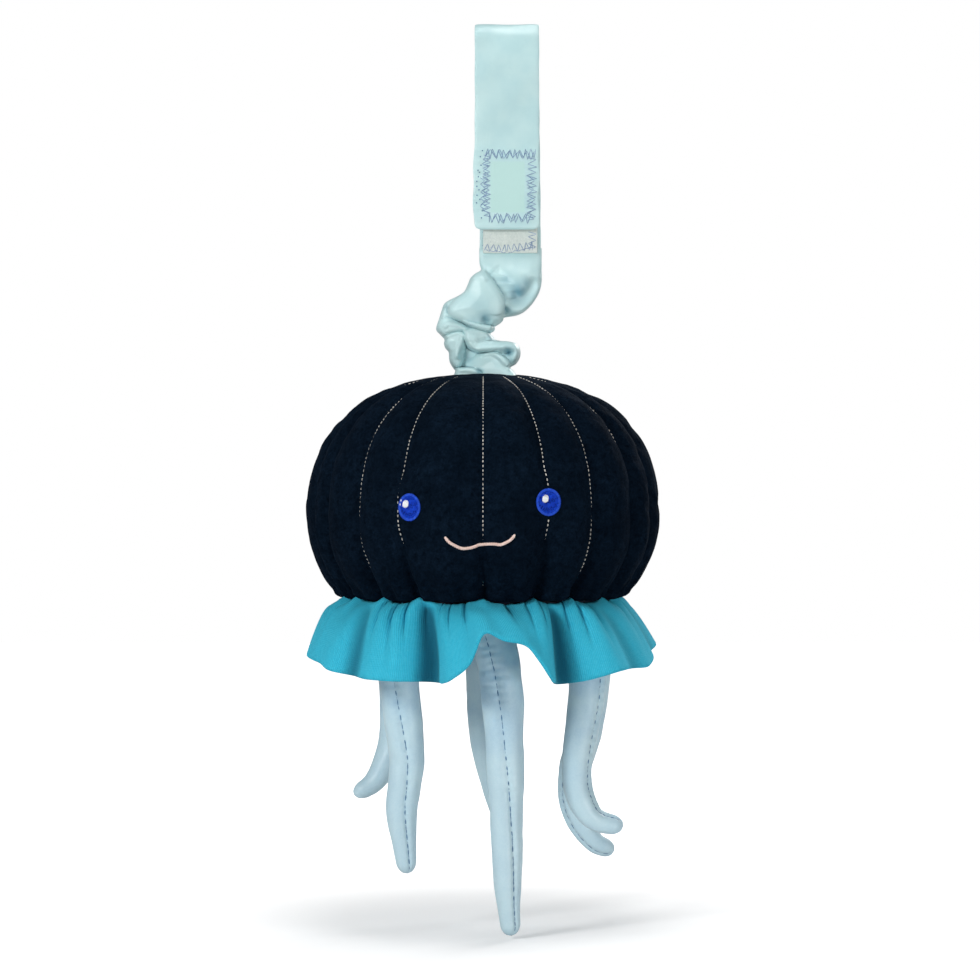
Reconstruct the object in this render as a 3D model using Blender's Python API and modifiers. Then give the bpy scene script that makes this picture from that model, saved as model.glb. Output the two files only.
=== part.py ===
"""Plush jellyfish that hangs from a satin strap, as separate closed pieces.

Metres, +Z up. The origin is the inner top of the strap's loop, where a rail or
a hook carries the toy. The face looks along -Y and +X is on its right in the view.
"""

import math

import bmesh
import bpy
from mathutils import Vector
from mathutils.bvhtree import BVHTree

# Clearance kept between pieces that touch
GAP = 0.0003

# Satin strap: it rises behind, folds over at the top and comes down in front
STRAP_WIDTH = 0.025
STRAP_END_WIDTH = 0.0238
STRAP_THICKNESS = 0.0014
LOOP_RADIUS = 0.005
FLAP_DROP = 0.0788
FLAP_CORNER = 0.0022
BACK_DROP = 0.0866
BACK_LEAN = 0.0013
CLOSE_MARGIN = 0.003

# The two halves of the fastener between the flap and the run behind it
PATCH_WIDTH = 0.0212
PATCH_BEVEL = 0.00025
HOOK_LENGTH = 0.029
HOOK_THICKNESS = 0.001
HOOK_MARGIN = 0.002
PILE_LENGTH = 0.034
PILE_THICKNESS = 0.0012
PILE_OVERHANG = 0.0012

# Gathered satin sleeve and the elastic inside it
SLEEVE_LENGTH = 0.0483
SLEEVE_WIDTH = 0.024
SLEEVE_DEPTH = 0.0205
SLEEVE_MOUTH_DEPTH = 0.0034
SLEEVE_PUCKER = 0.05
SLEEVE_PUCKERS = 7
ELASTIC_WIDTH = 0.006
ELASTIC_THICKNESS = 0.001
ELASTIC_CLEARANCE = 0.0006

# Stuffed bell, with its axis to the left of the strap
BELL_SHIFT = -0.0092
BELL_RADIUS = 0.0655
DOME_HEIGHT = 0.054
SKIRT_HEIGHT = 0.0325
SEAM_RADIUS = 0.052
CROWN_RADIUS = 0.013
DOME_POWER = 2.32
SKIRT_POWER = 2.3
GORE_PUFF = 0.0023
CROWN_FULLNESS = 0.7
SKIRT_FULLNESS = 1.15
SCALLOP_CREST = 0.4
SCALLOP_RISE = 0.0028

# Seams of the bell in degrees from the front, those that the face side shows
FACE_SEAMS = (-75.0, -64.4, -45.6, -27.8, 0.0, 21.1, 38.7, 58.9, 73.6)
BACK_GORES = 11
GORE_STEPS = 5

# Embroidered face: places are across from the bell's axis and down from its widest ring
EYE_LEFT = (-0.0274, 0.0032)
EYE_RIGHT = (0.0243, 0.0050)
EYE_LEFT_SIZE = (0.0087, 0.0107)
EYE_RIGHT_SIZE = (0.0095, 0.0104)
EYE_THICKNESS = 0.0007
EYE_FLAT_RADIUS = 0.0085
GLINT_SIZE = (0.0022, 0.0030)
GLINT_SHIFT = (-0.0013, 0.0012)
GLINT_THICKNESS = 0.0005
SMILE_DEPTH = 0.0004
SMILE_RADIUS = 0.0006
SMILE_POINTS = (
    (-0.0141, -0.0079),
    (-0.0123, -0.0103),
    (-0.0082, -0.0120),
    (-0.0042, -0.0118),
    (-0.0017, -0.0107),
    (0.0042, -0.0103),
    (0.0073, -0.0101),
    (0.0098, -0.0090),
    (0.0119, -0.0069),
)

# Round panel that closes the bell from below
PANEL_THICKNESS = 0.0012
RUFFLE_TUCK = 0.0005

# Gathered ruffle: strip points run round the bell from the back left past the face.
# Each has its place in the seam and at the hem in degrees, and how far the hem
# stands out from the seam and hangs below it, as shares of the two sizes above it.
RUFFLE_THICKNESS = 0.0016
RUFFLE_FLARE = 0.66
RUFFLE_FALL = 1.6
RUFFLE_GATHER = 0.0007
RUFFLE_GATHERS = 24
RUFFLE_COLUMNS = 96
RUFFLE_OUT = 0.020
RUFFLE_DROP = 0.020
RUFFLE_FACE = (
    (-92.0, -92.0, 0.7, 1.075),
    (-80.0, -78.0, 0.85, 1.1),
    (-68.0, -63.0, 0.9, 1.16),
    (-58.0, -54.0, 0.9, 1.25),
    (-50.0, -46.0, 0.65, 1.37),
    (-42.0, -36.0, 0.85, 1.42),
    (-34.0, -26.0, 0.85, 1.44),
    (-24.0, -17.8, 0.55, 1.48),
    (-17.5, -11.0, 0.8, 1.475),
    (-13.0, -7.0, 0.825, 1.45),
    (-8.0, -3.2, 1.05, 1.1),
    (-3.0, 0.2, 1.225, 0.51),
    (3.0, 6.0, 1.225, 0.635),
    (10.0, 12.4, 1.175, 0.74),
    (17.0, 15.6, 1.05, 1.025),
    (22.5, 18.4, 0.95, 1.36),
    (26.5, 23.0, 0.875, 1.45),
    (31.5, 29.5, 0.6, 1.515),
    (38.0, 36.0, 0.9, 1.4),
    (46.0, 45.0, 0.95, 1.26),
    (56.0, 56.0, 0.8, 1.26),
    (66.0, 65.0, 0.85, 1.25),
    (78.0, 77.0, 0.75, 1.135),
)
RUFFLE_BACK_FOLDS = 7
RUFFLE_BACK_OUT = (0.65, 0.875)
RUFFLE_BACK_DROP = (1.04, 0.95)

# Six stuffed tentacles under the panel. Each route is a list of places
# across, towards the back and down from the tentacle's own root.
ROOT_INSET = 0.012
TENTACLE_TOP_RADIUS = 0.0081
TENTACLE_TIP_RADIUS = 0.0044
TENTACLE_TAPER = 1.4
TENTACLE_RINGS = 19
TENTACLE_ROUTES = {
    "tentacle_front": (
        0.0,
        (
            (0.0, 0.0, 0.0),
            (0.0050, 0.0, 0.018),
            (0.0073, 0.0, 0.036),
            (0.0080, 0.0, 0.050),
            (0.0086, 0.0, 0.068),
            (0.0090, 0.0, 0.088),
            (0.0094, 0.0, 0.110),
            (0.0106, 0.0, 0.1245),
        ),
    ),
    "tentacle_front_right": (
        60.0,
        (
            (0.0, 0.0, 0.0),
            (0.0046, -0.001, 0.016),
            (0.0052, -0.001, 0.032),
            (0.0036, -0.001, 0.045),
            (0.0014, -0.002, 0.060),
            (0.0016, -0.002, 0.070),
            (0.0046, -0.003, 0.0785),
            (0.0095, -0.003, 0.0830),
            (0.0190, -0.003, 0.0850),
        ),
    ),
    "tentacle_back_right": (
        120.0,
        (
            (0.0, 0.0, 0.0),
            (0.0068, 0.001, 0.016),
            (0.0082, 0.001, 0.032),
            (0.0060, 0.001, 0.052),
            (0.0014, 0.001, 0.067),
            (0.0006, 0.001, 0.078),
            (0.0036, 0.000, 0.088),
            (0.0095, -0.001, 0.0960),
            (0.0172, -0.002, 0.0992),
        ),
    ),
    "tentacle_back": (
        180.0,
        (
            (0.0, 0.0, 0.0),
            (0.0005, 0.0, 0.022),
            (0.0006, 0.0, 0.042),
            (0.0016, -0.001, 0.060),
            (0.0046, -0.003, 0.074),
            (0.0078, -0.006, 0.087),
            (0.0100, -0.009, 0.097),
        ),
    ),
    "tentacle_back_left": (
        240.0,
        (
            (0.0, 0.0, 0.0),
            (-0.0010, 0.001, 0.020),
            (0.0000, 0.001, 0.040),
            (-0.0010, 0.000, 0.054),
            (-0.0038, -0.001, 0.064),
            (-0.0088, -0.003, 0.0720),
            (-0.0165, -0.005, 0.0768),
        ),
    ),
    "tentacle_front_left": (
        300.0,
        (
            (0.0, 0.0, 0.0),
            (0.0016, 0.0, 0.016),
            (0.0026, 0.0, 0.032),
            (0.0046, 0.0, 0.050),
            (0.0054, 0.0, 0.060),
            (0.0044, 0.0, 0.070),
            (0.0034, 0.0, 0.080),
            (0.0046, 0.0, 0.094),
            (0.0056, 0.0, 0.1035),
        ),
    ),
}

# Sections of the sleeve from its mouth down: share of the length, share of the
# way from the strap to the bell's axis, half width and the reach in front and
# behind as shares of the sleeve's width and depth.
SLEEVE_SECTIONS = (
    (0.10, 0.00, 0.490, -0.06, 0.20),
    (0.16, 0.01, 0.504, 0.00, 0.22),
    (0.21, 0.12, 0.553, 0.24, 0.26),
    (0.27, 0.22, 0.577, 0.44, 0.28),
    (0.34, 0.36, 0.598, 0.54, 0.28),
    (0.41, 0.63, 0.642, 0.56, 0.29),
    (0.48, 0.91, 0.618, 0.54, 0.30),
    (0.53, 1.25, 0.530, 0.49, 0.34),
    (0.58, 1.45, 0.490, 0.39, 0.39),
    (0.63, 1.62, 0.447, 0.32, 0.44),
    (0.68, 1.66, 0.400, 0.37, 0.46),
    (0.73, 1.48, 0.410, 0.44, 0.46),
    (0.77, 1.12, 0.555, 0.51, 0.44),
    (0.83, 0.98, 0.577, 0.54, 0.44),
    (0.89, 1.00, 0.545, 0.51, 0.44),
    (0.93, 1.07, 0.465, 0.46, 0.44),
    (0.97, 1.02, 0.465, 0.44, 0.45),
)
SLEEVE_BASE = (1.0, 0.92, 0.50, 0.46, 0.46)
SLEEVE_SIDES = 20
SLEEVE_RINGS = 44
BORE_RINGS = 16

# Levels from the loop down
PATCH_SPACE = HOOK_THICKNESS + PILE_THICKNESS + 3 * GAP
RUN_OFFSET = (PATCH_SPACE + STRAP_THICKNESS) / 2
HOOK_TOP_DROP = FLAP_DROP - HOOK_MARGIN - HOOK_LENGTH
CLOSED_DROP = HOOK_TOP_DROP - CLOSE_MARGIN
MOUTH_LEVEL = -BACK_DROP - GAP
CROWN_LEVEL = MOUTH_LEVEL - SLEEVE_LENGTH - GAP
RING_LEVEL = CROWN_LEVEL - DOME_HEIGHT
SEAM_LEVEL = RING_LEVEL - SKIRT_HEIGHT
PANEL_TOP = SEAM_LEVEL - GAP
PANEL_BOTTOM = PANEL_TOP - PANEL_THICKNESS
ROOT_LEVEL = PANEL_BOTTOM - GAP
RUFFLE_EDGE_RADIUS = SEAM_RADIUS - RUFFLE_TUCK
ROOT_RING_RADIUS = SEAM_RADIUS - ROOT_INSET
PANEL_RADIUS = RUFFLE_EDGE_RADIUS - GAP
MOUTH_CENTRE_Y = RUN_OFFSET - STRAP_THICKNESS / 2 + SLEEVE_MOUTH_DEPTH / 2


def clear_scene():
    """Remove every object and collection of the starting scene."""
    for obj in list(bpy.data.objects):
        bpy.data.objects.remove(obj, do_unlink=True)
    for collection in list(bpy.data.collections):
        bpy.data.collections.remove(collection)


def make_collection(name):
    """Add a collection to the scene."""
    collection = bpy.data.collections.new(name)
    bpy.context.scene.collection.children.link(collection)
    return collection


def make_material(name, colour, roughness):
    """Plain cloth material with a colour and a roughness."""
    material = bpy.data.materials.new(name)
    material.use_nodes = True
    shader = material.node_tree.nodes["Principled BSDF"]
    shader.inputs["Base Color"].default_value = (*colour, 1.0)
    shader.inputs["Roughness"].default_value = roughness
    shader.inputs["Metallic"].default_value = 0.0
    return material


def add_object(name, mesh_or_curve, material):
    """Put new data in the scene under the piece's name."""
    mesh_or_curve.materials.append(material)
    obj = bpy.data.objects.new(name, mesh_or_curve)
    PARTS.objects.link(obj)
    return obj


def mesh_from(name, points, faces):
    """Mesh of given points and faces, with its faces turned to agree."""
    mesh = bpy.data.meshes.new(name)
    mesh.from_pydata([tuple(point) for point in points], [], faces)
    mesh.update()
    return mesh


def turn_faces_out(mesh):
    """Point the faces of a closed mesh outwards."""
    shape = bmesh.new()
    shape.from_mesh(mesh)
    bmesh.ops.recalc_face_normals(shape, faces=shape.faces)
    shape.to_mesh(mesh)
    shape.free()


def grid_faces(rows, columns, closed):
    """Quads of a grid stored row by row, joined round when closed."""
    faces = []
    last = columns if closed else columns - 1
    for row in range(rows - 1):
        for column in range(last):
            after = (column + 1) % columns
            low = row * columns
            high = low + columns
            faces.append((low + column, low + after, high + after, high + column))
    return faces


def shell(obj, thickness):
    """Give an open cloth surface its thickness, half on each side."""
    modifier = obj.modifiers.new("cloth", "SOLIDIFY")
    modifier.thickness = thickness
    modifier.offset = 0.0
    modifier.use_rim = True
    return modifier


def ease(share):
    """Smooth step from 0 to 1."""
    share = min(max(share, 0.0), 1.0)
    return share * share * (3.0 - 2.0 * share)


def mix(low, high, share):
    """Value part of the way from low to high."""
    return low + (high - low) * share


def curve_through(points, samples, closed=False):
    """Evenly spread points on a smooth line through hand-chosen ones, as tuples."""
    count = len(points)
    spans = count if closed else count - 1
    dense = []
    for span in range(spans):
        if closed:
            four = [points[(span + step) % count] for step in (-1, 0, 1, 2)]
        else:
            four = [points[min(max(span + step, 0), count - 1)] for step in (-1, 0, 1, 2)]
        for step in range(12):
            t = step / 12
            weights = (
                0.5 * (-t + 2 * t ** 2 - t ** 3),
                0.5 * (2 - 5 * t ** 2 + 3 * t ** 3),
                0.5 * (t + 4 * t ** 2 - 3 * t ** 3),
                0.5 * (-(t ** 2) + t ** 3),
            )
            dense.append([sum(w * p[i] for w, p in zip(weights, four)) for i in range(len(four[0]))])
    dense.append(list(points[0] if closed else points[-1]))
    return dense, spread_evenly(dense, samples)


def spread_evenly(dense, samples):
    """Points at equal steps along a dense line."""
    travelled = [0.0]
    for before, after in zip(dense, dense[1:]):
        travelled.append(travelled[-1] + math.dist(before, after))
    result = []
    place = 0
    for sample in range(samples):
        target = travelled[-1] * sample / (samples - 1)
        while place < len(dense) - 2 and travelled[place + 1] < target:
            place += 1
        stretch = max(travelled[place + 1] - travelled[place], 1e-12)
        share = (target - travelled[place]) / stretch
        result.append([mix(a, b, share) for a, b in zip(dense[place], dense[place + 1])])
    return result


def interpolate(rows, value):
    """Values of a table of rows at a given first value, straight between rows."""
    for before, after in zip(rows, rows[1:]):
        if value <= after[0]:
            share = (value - before[0]) / max(after[0] - before[0], 1e-12)
            return [mix(a, b, share) for a, b in zip(before, after)]
    return list(rows[-1])


def run_distance(drop):
    """Distance of each run of the strap from the middle, at a drop below the loop."""
    fold = LOOP_RADIUS + STRAP_THICKNESS / 2
    share = (drop - LOOP_RADIUS) / (CLOSED_DROP - LOOP_RADIUS)
    return mix(fold, RUN_OFFSET, ease(share))


def build_strap(material):
    """Ribbon from its lower end behind, over the loop and down to the flap's end."""
    rows = []
    steps = 14
    for step in range(6):
        drop = mix(BACK_DROP, CLOSED_DROP, step / 6)
        rows.append((drop, RUN_OFFSET))
    for step in range(steps):
        drop = mix(CLOSED_DROP, LOOP_RADIUS, step / steps)
        rows.append((drop, run_distance(drop)))
    fold = LOOP_RADIUS + STRAP_THICKNESS / 2
    bend_steps = 12
    for step in range(bend_steps + 1):
        angle = math.pi * step / bend_steps
        rows.append((LOOP_RADIUS - fold * math.sin(angle), fold * math.cos(angle)))
    for step in range(1, steps + 1):
        drop = mix(LOOP_RADIUS, CLOSED_DROP, step / steps)
        rows.append((drop, -run_distance(drop)))
    rows.append((mix(CLOSED_DROP, FLAP_DROP, 0.5), -RUN_OFFSET))
    corner_steps = 4
    for step in range(corner_steps + 1):
        angle = math.pi / 2 * step / corner_steps
        rows.append((FLAP_DROP - FLAP_CORNER * (1 - math.sin(angle)), -RUN_OFFSET))

    points = []
    for index, (drop, depth) in enumerate(rows):
        half = STRAP_WIDTH / 2
        shift = 0.0
        if depth > 0:
            behind = ease(drop / BACK_DROP)
            half = mix(STRAP_WIDTH, STRAP_END_WIDTH, behind) / 2
            shift = BACK_LEAN * behind
        from_end = len(rows) - 1 - index
        if from_end <= corner_steps:
            angle = math.pi / 2 * (1 - from_end / corner_steps)
            half -= FLAP_CORNER * (1 - math.cos(angle))
        points.append((shift - half, depth, -drop))
        points.append((shift + half, depth, -drop))
    mesh = mesh_from("strap_band", points, grid_faces(len(rows), 2, closed=False))
    strap = add_object("strap_band", mesh, material)
    shell(strap, STRAP_THICKNESS)
    return strap


def build_patch(name, length, thickness, centre, material):
    """Flat patch with softened edges."""
    shape = bmesh.new()
    bmesh.ops.create_cube(shape, size=1.0)
    bmesh.ops.scale(shape, vec=(PATCH_WIDTH, thickness, length), verts=shape.verts)
    bmesh.ops.translate(shape, vec=centre, verts=shape.verts)
    mesh = bpy.data.meshes.new(name)
    shape.to_mesh(mesh)
    shape.free()
    patch = add_object(name, mesh, material)
    bevel = patch.modifiers.new("soft edge", "BEVEL")
    bevel.width = PATCH_BEVEL
    bevel.segments = 1
    return patch


def sleeve_frame(share):
    """Left, right, front and back of the sleeve at a share of its length."""
    mouth_half = STRAP_END_WIDTH / 2
    strap_x = BACK_LEAN
    mouth = (
        strap_x - mouth_half,
        strap_x + mouth_half,
        MOUTH_CENTRE_Y - SLEEVE_MOUTH_DEPTH / 2,
        MOUTH_CENTRE_Y + SLEEVE_MOUTH_DEPTH / 2,
    )
    table = [(0.0, *mouth), (0.045, *mouth)]
    for down, way, half, front, back in (*SLEEVE_SECTIONS, SLEEVE_BASE):
        centre = mix(strap_x, BELL_SHIFT, way)
        table.append(
            (
                down,
                centre - half * SLEEVE_WIDTH,
                centre + half * SLEEVE_WIDTH,
                min(-front * SLEEVE_DEPTH, MOUTH_CENTRE_Y - ELASTIC_THICKNESS / 2 - 2 * ELASTIC_CLEARANCE),
                back * SLEEVE_DEPTH,
            )
        )
    return interpolate(table, share)[1:]


def elastic_centre(share):
    """Middle of the elastic: it leaves the mouth's middle and eases along the sleeve."""
    reach = 0.07
    samples = [min(max(share + reach * step, 0.0), 1.0) for step in (-1, -0.5, 0, 0.5, 1)]
    frames = [sleeve_frame(sample) for sample in samples]
    x = sum(frame[0] + frame[1] for frame in frames) / (2 * len(frames))
    y = sum(frame[2] + frame[3] for frame in frames) / (2 * len(frames))
    hold = ease(min(share, 1.0 - share) / 0.1)
    own = sleeve_frame(share)
    x = mix((own[0] + own[1]) / 2, x, hold)
    y = mix((own[2] + own[3]) / 2, y, hold)
    return x, y


def sleeve_level(share):
    """Height of the sleeve at a share of its length."""
    return MOUTH_LEVEL - SLEEVE_LENGTH * share


def build_sleeve(material):
    """Ruched tube: a gathered outside and an oval channel for the elastic."""
    points = []
    for ring in range(SLEEVE_RINGS):
        share = ring / (SLEEVE_RINGS - 1)
        left, right, front, back = sleeve_frame(share)
        half_x = (right - left) / 2
        half_y = (back - front) / 2
        pucker = SLEEVE_PUCKER * ease(share / 0.2) * ease((1 - share) / 0.04)
        for side in range(SLEEVE_SIDES):
            angle = 2 * math.pi * side / SLEEVE_SIDES
            turn = SLEEVE_PUCKERS * share + 0.35 * math.sin(angle + 0.6) + 0.2 * math.sin(2 * angle + 2.0)
            fold = 1 + pucker * (2 * abs(math.sin(math.pi * turn)) ** 0.7 - 1.2)
            cosine = math.cos(angle)
            sine = math.sin(angle)
            x = (left + right) / 2 + half_x * fold * math.copysign(abs(cosine) ** 0.8, cosine)
            y = (front + back) / 2 + half_y * fold * math.copysign(abs(sine) ** 0.8, sine)
            points.append((x, y, sleeve_level(share)))
    bore_x = ELASTIC_WIDTH / 2 + ELASTIC_CLEARANCE
    bore_y = ELASTIC_THICKNESS / 2 + ELASTIC_CLEARANCE
    for ring in reversed(range(BORE_RINGS)):
        share = ring / (BORE_RINGS - 1)
        centre = elastic_centre(share)
        for side in range(SLEEVE_SIDES):
            angle = 2 * math.pi * side / SLEEVE_SIDES
            cosine = math.cos(angle)
            sine = math.sin(angle)
            x = centre[0] + bore_x * math.copysign(abs(cosine) ** 0.5, cosine)
            y = centre[1] + bore_y * math.copysign(abs(sine) ** 0.5, sine)
            points.append((x, y, sleeve_level(share)))
    rows = SLEEVE_RINGS + BORE_RINGS
    faces = grid_faces(rows, SLEEVE_SIDES, closed=True)
    last = (rows - 1) * SLEEVE_SIDES
    for side in range(SLEEVE_SIDES):
        after = (side + 1) % SLEEVE_SIDES
        faces.append((last + side, last + after, after, side))
    mesh = mesh_from("ruched_sleeve", points, faces)
    turn_faces_out(mesh)
    return add_object("ruched_sleeve", mesh, material)


def build_elastic(material):
    """Flat elastic band that runs down the channel from the strap to the bell."""
    points = []
    for ring in range(BORE_RINGS):
        share = ring / (BORE_RINGS - 1)
        x, y = elastic_centre(share)
        level = sleeve_level(share)
        points.append((x - ELASTIC_WIDTH / 2, y, level))
        points.append((x + ELASTIC_WIDTH / 2, y, level))
    mesh = mesh_from("sleeve_elastic", points, grid_faces(BORE_RINGS, 2, closed=False))
    elastic = add_object("sleeve_elastic", mesh, material)
    shell(elastic, ELASTIC_THICKNESS)
    return elastic


def seam_angles():
    """Angles of all seams round the bell, from the front left to the back."""
    start = FACE_SEAMS[-1]
    span = 360.0 + FACE_SEAMS[0] - start
    angles = list(FACE_SEAMS)
    for gore in range(1, BACK_GORES):
        angles.append(start + span * gore / BACK_GORES)
    return angles


def bell_profile():
    """Rows of the bell from crown to seam: radius, level and how full the gores are."""
    rows = []
    power = 2.0 / DOME_POWER
    crown_turn = math.asin((CROWN_RADIUS / BELL_RADIUS) ** (1 / power))
    crown_lift = math.cos(crown_turn) ** power
    dome_rows = 9
    for row in range(dome_rows + 1):
        turn = mix(crown_turn, math.pi / 2, row / dome_rows)
        radius = BELL_RADIUS * math.sin(turn) ** power
        lift = max(math.cos(turn), 0.0) ** power / crown_lift
        full = ease(row / 4) * mix(CROWN_FULLNESS, 1.0, row / dome_rows)
        rows.append((radius, RING_LEVEL + DOME_HEIGHT * lift, full))
    for down in (0.22, 0.42, 0.60, 0.76, 0.89):
        radius = mix(BELL_RADIUS, SEAM_RADIUS, down ** SKIRT_POWER)
        rows.append((radius, RING_LEVEL - SKIRT_HEIGHT * down, mix(1.0, SKIRT_FULLNESS, down)))
    return rows


def face_calm(across, level):
    """Share of the gores' fullness that the embroidery leaves beside an eye."""
    calm = 1.0
    for place in (EYE_LEFT, EYE_RIGHT):
        distance = math.dist((across, level), (place[0], RING_LEVEL + place[1]))
        calm *= ease((distance / EYE_FLAT_RADIUS - 0.6) / 1.2)
    return calm


def bell_point(radius, level, out, angle):
    """Point round the bell's axis, at an angle in degrees from the front."""
    turn = math.radians(angle)
    reach = radius + out
    return (BELL_SHIFT + reach * math.sin(turn), -reach * math.cos(turn), level)


def build_bell(material):
    """Stuffed bell with a puff between each pair of seams."""
    seams = seam_angles()
    columns = []
    for index, start in enumerate(seams):
        end = seams[index + 1] if index + 1 < len(seams) else seams[0] + 360.0
        for step in range(GORE_STEPS):
            share = step / GORE_STEPS
            puff = 1 - abs(2 * share - 1) ** 2.4
            columns.append((mix(start, end, share), puff))

    profile = bell_profile()
    points = []
    for radius, level, full in profile:
        for angle, puff in columns:
            front = math.cos(math.radians(angle)) > 0
            across = radius * math.sin(math.radians(angle))
            calm = face_calm(across, level) if front else 1.0
            lift = mix(1.0, puff, calm)
            points.append(bell_point(radius, level, GORE_PUFF * full * lift, angle))
    for angle, puff in columns:
        rise = SCALLOP_RISE * mix(1.0, SCALLOP_CREST, puff)
        points.append(bell_point(SEAM_RADIUS + RUFFLE_THICKNESS, SEAM_LEVEL + rise, GORE_PUFF * puff, angle))
    for angle, _ in columns:
        points.append(bell_point(SEAM_RADIUS, SEAM_LEVEL, 0.0, angle))

    count = len(columns)
    rows = len(profile) + 2
    faces = grid_faces(rows, count, closed=True)
    crown = len(points)
    points.append((BELL_SHIFT, 0.0, CROWN_LEVEL))
    floor = len(points)
    points.append((BELL_SHIFT, 0.0, SEAM_LEVEL))
    last = (rows - 1) * count
    for column in range(count):
        after = (column + 1) % count
        faces.append((crown, after, column))
        faces.append((floor, last + column, last + after))
    mesh = mesh_from("bell", points, faces)
    turn_faces_out(mesh)
    mesh.shade_smooth()
    return add_object("bell", mesh, material)


def surface_finder(obj):
    """Function that drops a point on the face side of a piece, by its X and Z."""
    tree = BVHTree.FromPolygons(
        [vertex.co.copy() for vertex in obj.data.vertices],
        [tuple(polygon.vertices) for polygon in obj.data.polygons],
    )

    def find(x, z):
        hit = tree.ray_cast(Vector((x, -1.0, z)), Vector((0.0, 1.0, 0.0)))
        return hit[0], hit[1]

    return find


def build_patch_on_bell(name, place, size, lift, thickness, find, material):
    """Oval of embroidery that follows the bell at a height above it."""
    sides = 20
    rings = 3
    flat = [(0.0, 0.0)]
    for ring in range(1, rings + 1):
        for side in range(sides):
            angle = 2 * math.pi * side / sides
            reach = ring / rings
            flat.append((size[0] / 2 * reach * math.cos(angle), size[1] / 2 * reach * math.sin(angle)))
    points = []
    for across, up in flat:
        x = BELL_SHIFT + place[0] + across
        z = RING_LEVEL + place[1] + up
        hit, normal = find(x, z)
        points.append(hit + normal * (lift + thickness / 2))
    faces = []
    for side in range(sides):
        after = (side + 1) % sides
        faces.append((0, 1 + side, 1 + after))
        for ring in range(rings - 1):
            low = 1 + ring * sides
            high = low + sides
            faces.append((low + side, high + side, high + after, low + after))
    mesh = mesh_from(name, points, faces)
    oval = add_object(name, mesh, material)
    shell(oval, thickness)
    return oval


def build_tube(name, places, radii, sides_level, material):
    """Round tube along given places with its own radius at each, and filled ends."""
    curve = bpy.data.curves.new(name, "CURVE")
    curve.dimensions = "3D"
    curve.bevel_depth = 1.0
    curve.bevel_resolution = sides_level
    curve.use_fill_caps = True
    spline = curve.splines.new("POLY")
    spline.points.add(len(places) - 1)
    for point, place, radius in zip(spline.points, places, radii):
        point.co = (*place, 1.0)
        point.radius = radius
    return add_object(name, curve, material)


def build_smile(find, material):
    """Thin raised cord of embroidery along the smile."""
    line = curve_through(SMILE_POINTS, 16)[1]
    places = []
    for across, up in line:
        hit, normal = find(BELL_SHIFT + across, RING_LEVEL + up)
        places.append(hit + normal * (SMILE_RADIUS + SMILE_DEPTH))
    radii = [SMILE_RADIUS] * len(places)
    return build_tube("smile", places, radii, 1, material)


def build_panel(material):
    """Round panel under the bell that carries the tentacles."""
    shape = bmesh.new()
    bmesh.ops.create_cone(
        shape,
        cap_ends=True,
        segments=48,
        radius1=PANEL_RADIUS,
        radius2=PANEL_RADIUS,
        depth=PANEL_THICKNESS,
    )
    bmesh.ops.translate(shape, vec=(BELL_SHIFT, 0.0, (PANEL_TOP + PANEL_BOTTOM) / 2), verts=shape.verts)
    mesh = bpy.data.meshes.new("base_panel")
    shape.to_mesh(mesh)
    shape.free()
    return add_object("base_panel", mesh, material)


def ruffle_strip():
    """Strip points all round: those of the face, then even folds behind."""
    rows = [list(row) for row in RUFFLE_FACE]
    start = RUFFLE_FACE[-1][0]
    span = 360.0 + RUFFLE_FACE[0][0] - start
    folds = 2 * RUFFLE_BACK_FOLDS
    for step in range(1, folds):
        angle = start + span * step / folds
        ridge = (step + 1) % 2
        rows.append([angle, angle, RUFFLE_BACK_OUT[ridge], RUFFLE_BACK_DROP[ridge]])
    scaled = []
    for top, hem, out, drop in rows:
        scaled.append((math.radians(top), math.radians(hem), out * RUFFLE_OUT, drop * RUFFLE_DROP))
    return scaled


def ruffle_columns():
    """Strip points spread evenly along the hem."""
    strip = ruffle_strip()
    first = strip[0]
    around = strip + [(first[0] + 2 * math.pi, first[1] + 2 * math.pi, first[2], first[3])]
    dense = curve_through(around, 2)[0]
    hem = []
    for top, angle, out, drop in dense:
        reach = SEAM_RADIUS + out
        hem.append([reach * math.sin(angle), reach * math.cos(angle), drop, top, angle, out])
    travelled = [0.0]
    for before, after in zip(hem, hem[1:]):
        travelled.append(travelled[-1] + math.dist(before[:3], after[:3]))
    rows = [(length, *row) for length, row in zip(travelled, hem)]
    return [interpolate(rows, travelled[-1] * column / RUFFLE_COLUMNS) for column in range(RUFFLE_COLUMNS)]


def build_ruffle(material):
    """Gathered strip that leaves the seam flat and falls to the wavy hem."""
    edge_level = SEAM_LEVEL - GAP - RUFFLE_THICKNESS / 2
    columns = ruffle_columns()
    points = []
    downs = (0.0, 0.13, 0.27, 0.43, 0.61, 0.80, 1.0)
    for down in downs:
        for index, column in enumerate(columns):
            drop, top, hem, out = column[3:7]
            angle = mix(top, hem, ease(down))
            reach = RUFFLE_EDGE_RADIUS + (out + RUFFLE_TUCK) * down ** RUFFLE_FLARE
            level = edge_level - (drop - RUFFLE_THICKNESS / 2) * down ** RUFFLE_FALL
            wave = math.cos(2 * math.pi * RUFFLE_GATHERS * index / RUFFLE_COLUMNS)
            gather = RUFFLE_GATHER * wave * ease(down / 0.2) * ease((0.9 - down) / 0.5)
            reach += gather
            level -= abs(gather)
            points.append((BELL_SHIFT + reach * math.sin(angle), -reach * math.cos(angle), level))
    mesh = mesh_from("ruffle", points, grid_faces(len(downs), RUFFLE_COLUMNS, closed=True))
    ruffle = add_object("ruffle", mesh, material)
    shell(ruffle, RUFFLE_THICKNESS)
    return ruffle


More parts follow.
